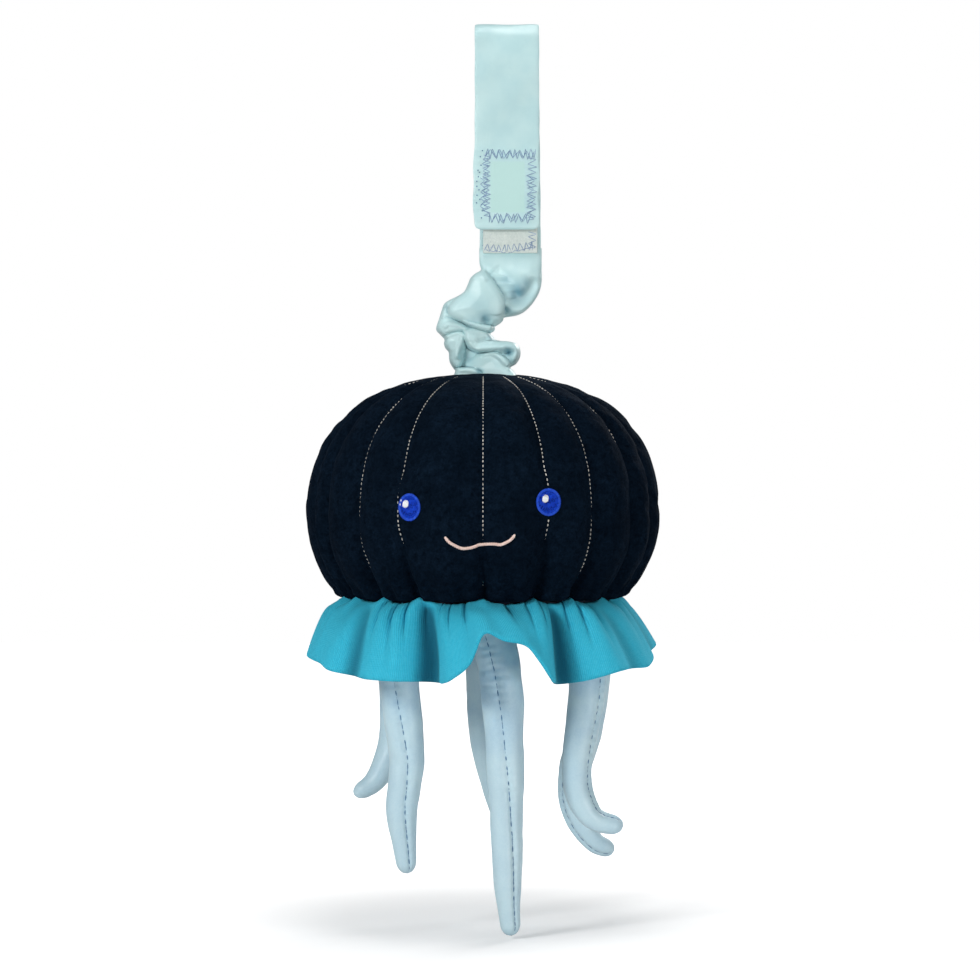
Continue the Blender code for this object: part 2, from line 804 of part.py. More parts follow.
def build_tentacle(name, azimuth, route, material):
    """Stuffed tapering tentacle that hangs from its root and ends in a round tip."""
    turn = math.radians(azimuth)
    root = (BELL_SHIFT + ROOT_RING_RADIUS * math.sin(turn), -ROOT_RING_RADIUS * math.cos(turn), ROOT_LEVEL)
    line = curve_through(route, TENTACLE_RINGS - 4)[1]
    places = [Vector((root[0] + x, root[1] + y, root[2] - drop)) for x, y, drop in line]
    places[1].x = places[0].x
    places[1].y = places[0].y
    count = len(places)
    radii = [mix(TENTACLE_TOP_RADIUS, TENTACLE_TIP_RADIUS, (i / (count - 1)) ** TENTACLE_TAPER) for i in range(count)]
    end = places.pop()
    tip = radii.pop()
    heading = (end - places[-1]).normalized()
    centre = end - heading * tip
    for angle in (10, 35, 60, 80):
        bend = math.radians(angle)
        places.append(centre + heading * tip * math.sin(bend))
        radii.append(tip * math.cos(bend))
    return build_tube(name, places, radii, 2, material)


clear_scene()
PARTS = make_collection("plush_jellyfish")

satin = make_material("aqua satin", (0.58, 0.80, 0.81), 0.30)
hook_tape = make_material("hook tape", (0.72, 0.79, 0.77), 0.55)
pile_tape = make_material("loop tape", (0.66, 0.71, 0.69), 0.90)
elastic_web = make_material("elastic web", (0.82, 0.83, 0.82), 0.80)
velour = make_material("navy velour", (0.010, 0.017, 0.036), 0.95)
knit = make_material("teal rib knit", (0.045, 0.36, 0.47), 0.90)
panel_cloth = make_material("base panel cloth", (0.02, 0.05, 0.10), 0.90)
pale_velour = make_material("pale blue velour", (0.52, 0.68, 0.74), 0.45)
eye_thread = make_material("blue thread", (0.020, 0.050, 0.42), 0.50)
white_thread = make_material("white thread", (0.90, 0.90, 0.90), 0.50)
peach_thread = make_material("peach thread", (0.92, 0.72, 0.64), 0.55)

build_strap(satin)
hook_y = -RUN_OFFSET + STRAP_THICKNESS / 2 + GAP + HOOK_THICKNESS / 2
hook_z = -HOOK_TOP_DROP - HOOK_LENGTH / 2
build_patch("hook_patch", HOOK_LENGTH, HOOK_THICKNESS, (0.0, hook_y, hook_z), hook_tape)
pile_y = RUN_OFFSET - STRAP_THICKNESS / 2 - GAP - PILE_THICKNESS / 2
pile_z = -BACK_DROP - PILE_OVERHANG + PILE_LENGTH / 2
build_patch("loop_patch", PILE_LENGTH, PILE_THICKNESS, (BACK_LEAN, pile_y, pile_z), pile_tape)
build_sleeve(satin)
build_elastic(elastic_web)

bell = build_bell(velour)
find_bell = surface_finder(bell)
EYES = (
    ("left", EYE_LEFT, EYE_LEFT_SIZE),
    ("right", EYE_RIGHT, EYE_RIGHT_SIZE),
)
for side_name, eye_place, eye_size in EYES:
    eye_name = side_name + "_eye"
    build_patch_on_bell(eye_name, eye_place, eye_size, GAP, EYE_THICKNESS, find_bell, eye_thread)
    glint_place = (eye_place[0] + GLINT_SHIFT[0], eye_place[1] + GLINT_SHIFT[1])
    glint_lift = 2 * GAP + EYE_THICKNESS
    glint_name = side_name + "_eye_glint"
    build_patch_on_bell(glint_name, glint_place, GLINT_SIZE, glint_lift, GLINT_THICKNESS, find_bell, white_thread)
build_smile(find_bell, peach_thread)

build_panel(panel_cloth)
build_ruffle(knit)
for tentacle_name, (tentacle_azimuth, tentacle_route) in TENTACLE_ROUTES.items():
    build_tentacle(tentacle_name, tentacle_azimuth, tentacle_route, pale_velour)
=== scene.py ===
# %% [markdown]
# # A plush jellyfish that hangs from a satin strap
# The toy is sewn from five cloths: satin for the strap and its scrunched sleeve, navy
# velour for the stuffed bell, ribbed knit for the ruffle, pale satin-faced velour for
# the tentacles, and a plain cloth for the panel below. This notebook dresses a fixed
# model of the toy with those cloths. Each step names the real piece first, then the
# ways to make it, then the one that is used.

# %% Load the fixed model
import math

import bmesh
import bpy
import numpy as np
from mathutils import Matrix, Vector
from mathutils import noise as soft_noise
from mathutils.bvhtree import BVHTree


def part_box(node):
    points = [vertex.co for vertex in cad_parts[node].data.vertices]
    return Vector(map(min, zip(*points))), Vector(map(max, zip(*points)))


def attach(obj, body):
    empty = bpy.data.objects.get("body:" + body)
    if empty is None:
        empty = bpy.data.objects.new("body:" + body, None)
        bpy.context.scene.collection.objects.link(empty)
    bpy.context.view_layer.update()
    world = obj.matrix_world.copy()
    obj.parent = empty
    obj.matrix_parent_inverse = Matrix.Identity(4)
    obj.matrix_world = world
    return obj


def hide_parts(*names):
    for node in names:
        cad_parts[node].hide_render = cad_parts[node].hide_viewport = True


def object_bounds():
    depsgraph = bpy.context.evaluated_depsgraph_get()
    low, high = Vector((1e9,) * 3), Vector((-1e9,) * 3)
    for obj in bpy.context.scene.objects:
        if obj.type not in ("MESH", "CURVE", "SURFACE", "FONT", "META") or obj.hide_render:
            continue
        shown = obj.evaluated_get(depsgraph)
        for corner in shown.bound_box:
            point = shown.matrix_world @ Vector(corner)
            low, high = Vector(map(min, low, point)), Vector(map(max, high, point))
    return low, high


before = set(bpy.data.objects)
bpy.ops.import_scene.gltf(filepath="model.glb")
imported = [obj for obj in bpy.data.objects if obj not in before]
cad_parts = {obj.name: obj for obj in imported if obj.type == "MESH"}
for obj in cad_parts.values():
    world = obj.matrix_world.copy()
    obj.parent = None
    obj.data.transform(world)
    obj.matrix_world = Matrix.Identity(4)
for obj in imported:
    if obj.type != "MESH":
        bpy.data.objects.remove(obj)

cad_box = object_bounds()
print("model box", [round(value, 4) for corner in cad_box for value in corner])

# %% [markdown]
# ## Where things are
# The origin is the inner top of the strap's loop. The face looks along -Y. The places of
# the seams come from the model, so the cloth lands on what it stands for: the round panel
# gives the bell's axis, and the bell's own box gives its crown and its lower seam.

# %% Places read from the model
panel_low, panel_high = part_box("base_panel")
bell_low, bell_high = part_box("bell")
sleeve_low, sleeve_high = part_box("ruched_sleeve")

AXIS_X = (panel_low.x + panel_high.x) / 2
PANEL_RADIUS = (panel_high.x - panel_low.x) / 2
SEAM_RADIUS = PANEL_RADIUS + 0.0008
CROWN_LEVEL = bell_high.z
SEAM_LEVEL = bell_low.z
SKIRT_HEIGHT = 0.0325
RING_LEVEL = SEAM_LEVEL + SKIRT_HEIGHT
DOME_HEIGHT = CROWN_LEVEL - RING_LEVEL
BELL_RADIUS = 0.0655
print("bell axis", round(AXIS_X, 4), "ring level", round(RING_LEVEL, 4), "dome", round(DOME_HEIGHT, 4))

# %% [markdown]
# ## Camera
# The photograph is level and taken from straight ahead. A pixel of it covers 0.39 mm of
# the toy, so a long lens 1.2 m away gives the same framing with little perspective. A
# helper turns a pixel of the photograph into a place at a chosen depth.

# %% Camera
PIXEL = 0.00039
PHOTO_PIXELS = 980
CAMERA_DISTANCE = 1.2
CAMERA_ACROSS = -0.0066
CAMERA_LEVEL = -0.1802
SENSOR = 36.0


def put_in_scene(name, data):
    """Object of some data, linked to the scene."""
    thing = bpy.data.objects.new(name, data)
    bpy.context.scene.collection.objects.link(thing)
    return thing


camera_data = bpy.data.cameras.new("camera")
camera_data.sensor_width = SENSOR
camera_data.lens = SENSOR * CAMERA_DISTANCE / (PHOTO_PIXELS * PIXEL)
camera = put_in_scene("camera", camera_data)
camera.location = (CAMERA_ACROSS, -CAMERA_DISTANCE, CAMERA_LEVEL)
camera.rotation_euler = (math.pi / 2, 0.0, 0.0)
bpy.context.scene.camera = camera
bpy.context.scene.view_settings.view_transform = "Standard"


def place_of(pixel, depth=0.0):
    """Across and up of a pixel of the photograph, at a depth behind the loop."""
    scale = PIXEL * (CAMERA_DISTANCE + depth) / CAMERA_DISTANCE
    across = CAMERA_ACROSS + (pixel[0] - PHOTO_PIXELS / 2) * scale
    up = CAMERA_LEVEL - (pixel[1] - PHOTO_PIXELS / 2) * scale
    return across, up


print("lens", round(camera_data.lens, 1), "mm")

# %% [markdown]
# ## Small helpers for curves
# Cloth has no straight lines, so most shapes here follow smooth curves through a few
# given points. Numpy works on all points of a sheet at once.

# %% Curve helpers
def ease(share):
    """Smooth step from 0 to 1."""
    share = np.clip(share, 0.0, 1.0)
    return share * share * (3.0 - 2.0 * share)


def mix(low, high, share):
    """Value part of the way from low to high."""
    return low + (high - low) * share


def bump_at(value, centre, width):
    """Soft bump of height 1 round a centre."""
    return np.exp(-(((value - centre) / width) ** 2))


def round_edge(share):
    """Height from 0 to 1 of a round edge, at a share of the way in from it."""
    return np.sqrt(np.clip(1 - (1 - np.clip(share, 0.0, 1.0)) ** 2, 0.0, 1.0))


def spline(points, steps):
    """Dense smooth line through all but the first and the last of some points."""
    t = np.linspace(0.0, 1.0, steps, endpoint=False)[:, None]
    dense = []
    for a, b, c, d in zip(points, points[1:], points[2:], points[3:]):
        blend = 2 * b + (c - a) * t + (2 * a - 5 * b + 4 * c - d) * t ** 2
        dense.append((blend + (3 * b - a - 3 * c + d) * t ** 3) / 2)
    return np.vstack(dense)


def spread_evenly(dense, samples, places=None):
    """Rows at equal steps along a dense line, measured on its first columns."""
    steps = np.linalg.norm(np.diff(dense[:, :places], axis=0), axis=1)
    travelled = np.concatenate([[0.0], np.cumsum(steps)])
    targets = np.linspace(0.0, travelled[-1], samples)
    return np.stack([np.interp(targets, travelled, column) for column in dense.T], axis=1)


def smooth_line(points, samples):
    """Evenly spread points on a smooth line through given ones."""
    points = np.array(points, float)
    padded = np.vstack([points[:1], points, points[-1:]])
    return spread_evenly(np.vstack([spline(padded, 16), points[-1:]]), samples)


def line_length(points):
    """Length of a line of points."""
    return float(np.linalg.norm(np.diff(np.array(points), axis=0), axis=1).sum())


def read_rows(table, place):
    """Columns of a table, read at places between its rows."""
    return [np.interp(place, np.arange(len(table)), column) for column in table.T]


def read_grid(grid, column, row, blend=np.asarray):
    """Value of a grid at places between its points, with a rule that blends them."""
    column = np.clip(column, 0, grid.shape[1] - 1.001)
    row = np.clip(row, 0, grid.shape[0] - 1.001)
    left, top = column.astype(int), row.astype(int)
    extra = (...,) + (None,) * (grid.ndim - 2)
    x, y = blend(column - left)[extra], blend(row - top)[extra]
    upper = mix(grid[top, left], grid[top, left + 1], x)
    lower = mix(grid[top + 1, left], grid[top + 1, left + 1], x)
    return mix(upper, lower, y)


def around_axis(reach, turn, level):
    """Points at a reach and a turn round the bell's axis, and at a level."""
    return np.stack([AXIS_X + reach * np.sin(turn), -reach * np.cos(turn), level], axis=-1)


def lumps(points, size, seed=0.0):
    """Smooth lumpiness of about -1 to 1 at each point, with lumps of a given size."""
    shift = Vector((seed, -seed, 0.5 * seed))
    return np.array([soft_noise.noise(Vector(point) / size + shift) for point in points])


print("a quarter turn of helper line:", round(line_length(smooth_line([(0, 0), (1, 1), (2, 0)], 9)), 3))

# %% [markdown]
# ## Sheets, tubes and stitches
# Every cloth starts as a flat grid, as it does on the cutting table, and a rule then puts
# each point of the grid in its place. The grid keeps its flat map, in metres, so a weave
# can follow the cloth. Thread is thicker than it looks: each stitch is a small bead that
# sinks at both ends.

# %% Sheet, tube and stitch helpers
def add_piece(name, mesh, material):
    """Put a mesh in the scene as a named piece with its material."""
    mesh.materials.clear()
    mesh.materials.append(material)
    mesh.shade_smooth()
    piece = put_in_scene(name, mesh)
    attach(piece, "root")
    return piece


def points_of(mesh):
    """Places of a mesh's points."""
    places = np.zeros(len(mesh.vertices) * 3)
    mesh.vertices.foreach_get("co", places)
    return places.reshape(-1, 3)


def cloth_mesh(name, columns, rows, place, flat, wrap=True):
    """Grid of cloth: place gives every point from its two shares, flat is the cut size."""
    shape = bmesh.new()
    shape.loops.layers.uv.new("flat cloth")
    bmesh.ops.create_grid(shape, x_segments=columns, y_segments=rows, size=0.5, calc_uvs=True)
    mesh = bpy.data.meshes.new(name)
    shape.to_mesh(mesh)
    shape.free()
    around, along, _ = (points_of(mesh) + 0.5).T
    mesh.vertices.foreach_set("co", place(around, along).astype(np.float32).ravel())
    layer = mesh.uv_layers[0]
    flat_map = np.zeros(len(layer.data) * 2)
    layer.data.foreach_get("uv", flat_map)
    layer.data.foreach_set("uv", (flat_map.reshape(-1, 2) * np.array(flat)).ravel())
    close_up(mesh, wrap)
    return mesh


def close_up(mesh, wrap):
    """Join the points that meet where a sheet closes round, and turn its faces out."""
    shape = bmesh.new()
    shape.from_mesh(mesh)
    if wrap:
        bmesh.ops.remove_doubles(shape, verts=shape.verts, dist=1e-6)
        flat_faces = [face for face in shape.faces if face.calc_area() < 1e-14]
        bmesh.ops.delete(shape, geom=flat_faces, context="FACES")
    bmesh.ops.recalc_face_normals(shape, faces=shape.faces)
    shape.to_mesh(mesh)
    shape.free()


def thicken(piece, thickness, offset=0.0):
    """Give a cloth its thickness."""
    wall = piece.modifiers.new("cloth thickness", "SOLIDIFY")
    wall.thickness = thickness
    wall.offset = offset


def line_frames(points):
    """Side and up at each point of a line, turning as little as possible."""
    points = np.array(points, float)
    along = np.gradient(points, axis=0)
    along /= np.linalg.norm(along, axis=1)[:, None]
    side = np.zeros_like(along)
    start = np.array([0.0, -1.0, 0.0])
    for index, ahead in enumerate(along):
        carried = start - ahead * np.dot(start, ahead)
        start = side[index] = carried / np.linalg.norm(carried)
    return side, np.cross(along, side)


def tube_points(line, radii, around, down, shape=None):
    """Points of a tube: around and down are shares, shape changes the radius."""
    side, up = line_frames(line)
    index = np.clip(np.round(down * (len(line) - 1)).astype(int), 0, len(line) - 1)
    turn = 2 * math.pi * around
    reach = radii[index]
    if shape is not None:
        reach = reach * shape(turn, down)
    spread = side[index] * np.cos(turn)[:, None] + up[index] * np.sin(turn)[:, None]
    return np.array(line)[index] + spread * reach[:, None]


def bead_matrix(start, end, radius):
    """Matrix that stretches a round bead between two points."""
    start, end = Vector(start), Vector(end)
    reach = end - start
    turn = reach.to_track_quat("Z", "Y").to_matrix().to_4x4()
    size = Matrix.Diagonal((radius, radius, reach.length / 2, 1.0))
    return Matrix.Translation((start + end) / 2) @ turn @ size


def stitches(name, spans, radius, material):
    """One piece of many stitches, each a bead between two points."""
    whole = bmesh.new()
    mesh = bpy.data.meshes.new(name)
    for first in range(0, len(spans), 40):
        row = bmesh.new()
        for start, end in spans[first:first + 40]:
            matrix = bead_matrix(start, end, radius)
            bmesh.ops.create_uvsphere(row, u_segments=6, v_segments=4, radius=1.0, matrix=matrix)
        row.to_mesh(mesh)
        row.free()
        whole.from_mesh(mesh)
    whole.to_mesh(mesh)
    whole.free()
    piece = add_piece(name, mesh, material)
    return piece


def count_triangles(*pieces):
    """Triangles of some pieces with their modifiers."""
    count = 0
    for piece in pieces:
        evaluated = piece.evaluated_get(bpy.context.evaluated_depsgraph_get())
        mesh = evaluated.to_mesh()
        mesh.calc_loop_triangles()
        count += len(mesh.loop_triangles)
        evaluated.to_mesh_clear()
    return count


print("helpers ready")

# %% [markdown]
# ## Effects that the cloths share
# Weave, pile, knit and thread twist are small patterns that several cloths use with other
# sizes, so each is a node group with named sockets. A group gives out colours, masks and
# normals only. The shader itself stays in each material.

# %% Node helpers
def feed(tree, socket, value):
    """Set a socket to a number or a colour, or link another socket to it."""
    if not isinstance(value, (int, float, tuple)):
        tree.links.new(value, socket)
    elif isinstance(value, tuple) and len(socket.default_value) > len(value):
        socket.default_value = (*value, 1.0)
    else:
        socket.default_value = value


def add_node(tree, kind, inputs=None, **settings):
    """Shader node of a kind with its settings, and its inputs fed by name or number."""
    node = tree.nodes.new("ShaderNode" + kind)
    for label, value in settings.items():
        setattr(node, label, value)
    for label, value in (inputs or {}).items():
        feed(tree, node.inputs[label], value)
    return node


def new_group(name, inputs, outputs):
    """Empty shader group with named sockets: numbers, and a vector where no number is given."""
    group = bpy.data.node_groups.new(name, "ShaderNodeTree")
    for label, value in inputs.items():
        kind = "NodeSocketVector" if value is None else "NodeSocketFloat"
        socket = group.interface.new_socket(name=label, in_out="INPUT", socket_type=kind)
        if value is not None:
            socket.default_value = value
    for label in outputs:
        group.interface.new_socket(name=label, in_out="OUTPUT", socket_type="NodeSocketFloat")
    return group, group.nodes.new("NodeGroupInput").outputs, group.nodes.new("NodeGroupOutput").inputs


def math_node(tree, operation, *values):
    """Math node on sockets or plain numbers, as its output socket."""
    return add_node(tree, "Math", dict(enumerate(values)), operation=operation).outputs[0]


def product(tree, first, second):
    """Product of two values, each a socket or a number."""
    return math_node(tree, "MULTIPLY", first, second)


def total(tree, first, second):
    """Sum of two values, each a socket or a number."""
    return math_node(tree, "ADD", first, second)


def noise_node(tree, place, scale, detail=2.0, roughness=0.5):
    """Noise texture at a place, as its factor socket."""
    inputs = {"Detail": detail, "Roughness": roughness, "Vector": place, "Scale": scale}
    return add_node(tree, "TexNoise", inputs).outputs[0]


def spread_node(tree, value, low, high, to_low=0.0, to_high=1.0):
    """Stretch a value from one range to another."""
    inputs = {"Value": value, "From Min": low, "From Max": high, "To Min": to_low, "To Max": to_high}
    return add_node(tree, "MapRange", inputs).outputs["Result"]


def colour_mix(tree, share, first, second):
    """Mix of two colours, each a socket or a plain colour."""
    return add_node(tree, "Mix", {0: share, 6: first, 7: second}, data_type="RGBA").outputs[2]


print("node helpers ready")

# %% Woven threads
def make_weave():
    """Crossing threads on a flat map in metres: height of the cloth and a thread mask."""
    inputs = {"Flat Map": None, "Threads per Metre": 4000.0, "Unevenness": 0.3}
    tree, entry, leave = new_group("woven threads", inputs, ("Height", "Mask"))
    parts = add_node(tree, "SeparateXYZ", {0: entry["Flat Map"]}).outputs
    drift = product(tree, noise_node(tree, entry["Flat Map"], 220.0), entry["Unevenness"])
    drift = product(tree, drift, 2 * math.pi)
    turns = product(tree, entry["Threads per Metre"], 2 * math.pi)
    warp = math_node(tree, "SINE", total(tree, product(tree, parts["X"], turns), drift))
    weft = math_node(tree, "SINE", total(tree, product(tree, parts["Y"], turns), drift))
    both = product(tree, warp, weft)
    height = total(tree, product(tree, both, 0.35), product(tree, warp, 0.15))
    feed(tree, leave["Height"], total(tree, height, 0.5))
    feed(tree, leave["Mask"], spread_node(tree, both, -1.0, 1.0))
    return tree


weave_group = make_weave()
print("group", weave_group.name)

# %% Cut pile
def make_pile():
    """Standing fibres at any place: their height and light and dark tufts."""
    inputs = {"Place": None, "Tufts per Metre": 1500.0, "Patches per Metre": 90.0}
    tree, entry, leave = new_group("cut pile", inputs, ("Height", "Tufts", "Patches"))
    place, tufts = entry["Place"], entry["Tufts per Metre"]
    fine = noise_node(tree, place, tufts, detail=3.0, roughness=0.65)
    coarse = noise_node(tree, place, product(tree, tufts, 0.35))
    patches = noise_node(tree, place, entry["Patches per Metre"], detail=3.0)
    height = total(tree, product(tree, fine, 0.6), product(tree, coarse, 0.4))
    feed(tree, leave["Height"], height)
    feed(tree, leave["Tufts"], spread_node(tree, height, 0.35, 0.68))
    feed(tree, leave["Patches"], spread_node(tree, patches, 0.35, 0.65))
    return tree


pile_group = make_pile()
print("group", pile_group.name)

# %% Ribbed knit
def make_knit():
    """Rows of knitted loops on a flat map in metres: their height and a rib mask."""
    inputs = {"Flat Map": None, "Ribs per Metre": 1500.0}
    tree, entry, leave = new_group("ribbed knit", inputs, ("Height", "Ribs"))
    parts = add_node(tree, "SeparateXYZ", {0: entry["Flat Map"]}).outputs
    turns = product(tree, entry["Ribs per Metre"], 2 * math.pi)
    sway = product(tree, noise_node(tree, entry["Flat Map"], 130.0), 5.0)
    rib = math_node(tree, "SINE", total(tree, product(tree, parts["X"], turns), sway))
    slant = product(tree, math_node(tree, "ABSOLUTE", rib), 2.2)
    loop = math_node(tree, "SINE", total(tree, product(tree, parts["Y"], turns), slant))
    height = total(tree, product(tree, rib, 0.32), product(tree, loop, 0.14))
    feed(tree, leave["Height"], total(tree, height, 0.5))
    feed(tree, leave["Ribs"], spread_node(tree, rib, -1.0, 1.0))
    return tree


knit_group = make_knit()
print("group", knit_group.name)

# %% Thread fibres
def make_fibres():
    """Fine strands along a thread, seen at any place: their height and a mask."""
    inputs = {"Place": None, "Strands per Metre": 6000.0}
    tree, entry, leave = new_group("thread fibres", inputs, ("Height", "Mask"))
    feed(tree, leave["Height"], noise_node(tree, entry["Place"], entry["Strands per Metre"]))
    tone = noise_node(tree, entry["Place"], 900.0)
    feed(tree, leave["Mask"], spread_node(tree, tone, 0.3, 0.7))
    return tree


fibre_group = make_fibres()
print("group", fibre_group.name)

# %% [markdown]
# ## Cloths and threads as materials
# Satin is smooth with a soft broad gloss, velour drinks the light and lights up at its
# edges, and jersey knit is dull with fine ribs. Each material sets its gloss and sheen
# directly on the shader and lets the groups vary its colour, roughness and normal.

# %% Material helpers
WHITE = (1.0, 1.0, 1.0)


def new_material(name, sheen, sheen_roughness=0.4, sheen_tint=WHITE, specular=0.5):
    """Material with one shader whose even values are set on its own sockets."""
    material = bpy.data.materials.new(name)
    material.use_nodes = True
    tree = material.node_tree
    shader = tree.nodes["Principled BSDF"].inputs
    feed(tree, shader["Specular IOR Level"], specular)
    feed(tree, shader["Sheen Weight"], sheen)
    feed(tree, shader["Sheen Roughness"], sheen_roughness)
    feed(tree, shader["Sheen Tint"], sheen_tint)
    return material, tree, shader


def vary(tree, shader, colour, rough, height, distance, strength):
    """Give a shader its varying colour, roughness and bump."""
    inputs = {"Height": height, "Distance": distance, "Strength": strength}
    feed(tree, shader["Base Color"], colour)
    feed(tree, shader["Roughness"], rough)
    feed(tree, shader["Normal"], add_node(tree, "Bump", inputs).outputs["Normal"])


def place_socket(tree, kind):
    """The cloth's own flat map, UV, or the place on the object, Object."""
    return add_node(tree, "TexCoord").outputs[kind]


def attribute_socket(tree, label):
    """Share from 0 to 1 that a piece keeps on its points under a name."""
    return add_node(tree, "Attribute", attribute_name=label).outputs["Fac"]


def use_group(tree, group, numbers):
    """Outputs of a group with its numbers, on the flat map or at the place on the object."""
    node = add_node(tree, "Group", node_tree=group)
    kind = "UV" if node.inputs[0].name == "Flat Map" else "Object"
    feed(tree, node.inputs[0], place_socket(tree, kind))
    for label, number in numbers.items():
        feed(tree, node.inputs[label], number)
    return node.outputs


def mark_points(mesh, label, shares):
    """Keep a share for every point of a mesh, for its material to read."""
    layer = mesh.attributes.new(label, "FLOAT", "POINT")
    layer.data.foreach_set("value", np.asarray(shares, np.float32))


print("material helpers ready")

# %% Satin
def make_satin(name, base, shade, light, fold, pressed):
    """Glossy woven satin, with painted shade in its folds, and duller where a tape is pressed on it."""
    material, tree, shader = new_material(name, sheen=0.08, sheen_roughness=0.35, specular=0.6)
    weave = use_group(tree, weave_group, {"Threads per Metre": 2600.0, "Unevenness": 0.5})
    clouds = noise_node(tree, place_socket(tree, "Object"), 120.0, detail=3.0)
    clouds = spread_node(tree, clouds, 0.35, 0.68)
    colour = colour_mix(tree, clouds, shade, base)
    colour = colour_mix(tree, product(tree, weave["Mask"], 0.30), colour, light)
    # painted shade: the fold colour is laid where the cloth's folds and hollows fall in shadow
    colour = colour_mix(tree, attribute_socket(tree, "in_fold"), colour, fold)
    colour = colour_mix(tree, attribute_socket(tree, "pressed"), colour, pressed)
    rough = spread_node(tree, clouds, 0.0, 1.0, 0.42, 0.33)
    drawn_out = {"Vector": place_socket(tree, "UV"), "Scale": (1.0, 0.07, 1.0)}
    grain_place = add_node(tree, "Mapping", drawn_out).outputs["Vector"]
    grain = noise_node(tree, grain_place, 1500.0, detail=3.0, roughness=0.6)
    height = total(tree, product(tree, weave["Height"], 0.3), grain)
    vary(tree, shader, colour, rough, height, 0.00010, 0.55)
    return material


satin = make_satin(
    "aqua satin",
    (0.515, 0.735, 0.745),
    (0.435, 0.670, 0.695),
    (0.68, 0.86, 0.86),
    # painted shade colour of the folds
    (0.130, 0.330, 0.420),
    (0.500, 0.740, 0.710),
)
print("satin ready")

# %% Navy velour
def make_velour(name, deep, light, edge):
    """Dark cut pile that lights up where it is seen from the side."""
    material, tree, shader = new_material(name, 0.03, 0.30, edge, specular=0.02)
    pile = use_group(tree, pile_group, {"Tufts per Metre": 1300.0, "Patches per Metre": 80.0})
    tufts = colour_mix(tree, pile["Tufts"], deep, light)
    colour = colour_mix(tree, product(tree, pile["Patches"], 0.5), tufts, deep)
    rough = spread_node(tree, pile["Tufts"], 0.0, 1.0, 1.0, 0.8)
    vary(tree, shader, colour, rough, pile["Height"], 0.0006, 0.8)
    return material


navy = make_velour("navy velour", (0.0008, 0.0028, 0.0066), (0.0044, 0.0120, 0.0250), (0.20, 0.36, 0.64))
print("velour ready")

# %% Teal rib knit
def make_rib_knit(name, base, shade, light, fold):
    """Dull jersey with fine ribs from the seam to the hem, with painted shade where it is folded in."""
    material, tree, shader = new_material(name, 0.35, 0.5, light, specular=0.25)
    knit = use_group(tree, knit_group, {"Ribs per Metre": 1450.0})
    lint = use_group(tree, pile_group, {"Tufts per Metre": 2500.0, "Patches per Metre": 60.0})
    ribs = colour_mix(tree, knit["Ribs"], shade, base)
    colour = colour_mix(tree, product(tree, lint["Tufts"], 0.35), ribs, light)
    # painted shade: the fold colour darkens the knit in the valleys between its folds
    colour = colour_mix(tree, attribute_socket(tree, "in_fold"), colour, fold)
    rough = spread_node(tree, knit["Ribs"], 0.0, 1.0, 0.95, 0.78)
    height = total(tree, knit["Height"], product(tree, lint["Height"], 0.5))
    vary(tree, shader, colour, rough, height, 0.00022, 0.75)
    return material


teal = make_rib_knit(
    "teal rib knit",
    (0.028, 0.500, 0.700),
    (0.017, 0.380, 0.570),
    (0.10, 0.64, 0.80),
    # painted shade colour of the valleys
    (0.002, 0.110, 0.185),
)
print("knit ready")

# %% Pale satin-faced velour
# Levels between which the dark patches grow from 0.3 to full strength, going up.
DARK_PATCH_LOW = -0.285
DARK_PATCH_HIGH = -0.245


def make_pale_velour(name, base, shade, light):
    """Pale cloth with a short sheen pile, darker in patches, most of all near the top."""
    material, tree, shader = new_material(name, 0.35, 0.3, specular=0.6)
    pile = use_group(tree, pile_group, {"Tufts per Metre": 3200.0, "Patches per Metre": 75.0})
    level = add_node(tree, "SeparateXYZ", {0: place_socket(tree, "Object")}).outputs["Z"]
    # the dark patches are strongest near the top of the tentacles
    patch_strength = spread_node(tree, level, DARK_PATCH_LOW, DARK_PATCH_HIGH, 0.30, 1.0)
    patched = colour_mix(tree, product(tree, pile["Patches"], patch_strength), base, shade)
    colour = colour_mix(tree, product(tree, pile["Tufts"], 0.25), patched, light)
    rough = spread_node(tree, pile["Patches"], 0.0, 1.0, 0.36, 0.52)
    vary(tree, shader, colour, rough, pile["Height"], 0.00010, 0.6)
    return material


pale = make_pale_velour(
    "pale blue velour",
    (0.530, 0.730, 0.805),
    (0.310, 0.510, 0.670),
    (0.76, 0.88, 0.93),
)
print("pale velour ready")

# %% Threads, tapes and plain cloths
def make_thread(name, base, shade, roughness=0.5, sheen=0.2, specular=0.4):
    """Embroidery or sewing thread of fine strands."""
    material, tree, shader = new_material(name, sheen, specular=specular)
    fibre = use_group(tree, fibre_group, {"Strands per Metre": 5000.0})
    colour = colour_mix(tree, fibre["Mask"], shade, base)
    rough = spread_node(tree, fibre["Mask"], 0.0, 1.0, roughness + 0.08, roughness - 0.05)
    vary(tree, shader, colour, rough, fibre["Height"], 0.00004, 0.5)
    return material


def make_tape(name, base, shade, tufts):
    """Fuzzy fastener tape or plain matt cloth."""
    material, tree, shader = new_material(name, 0.2, specular=0.25)
    pile = use_group(tree, pile_group, {"Tufts per Metre": tufts, "Patches per Metre": 150.0})
    colour = colour_mix(tree, pile["Tufts"], shade, base)
    rough = spread_node(tree, pile["Patches"], 0.0, 1.0, 0.9, 0.75)
    vary(tree, shader, colour, rough, pile["Height"], 0.0003, 0.7)
    return material


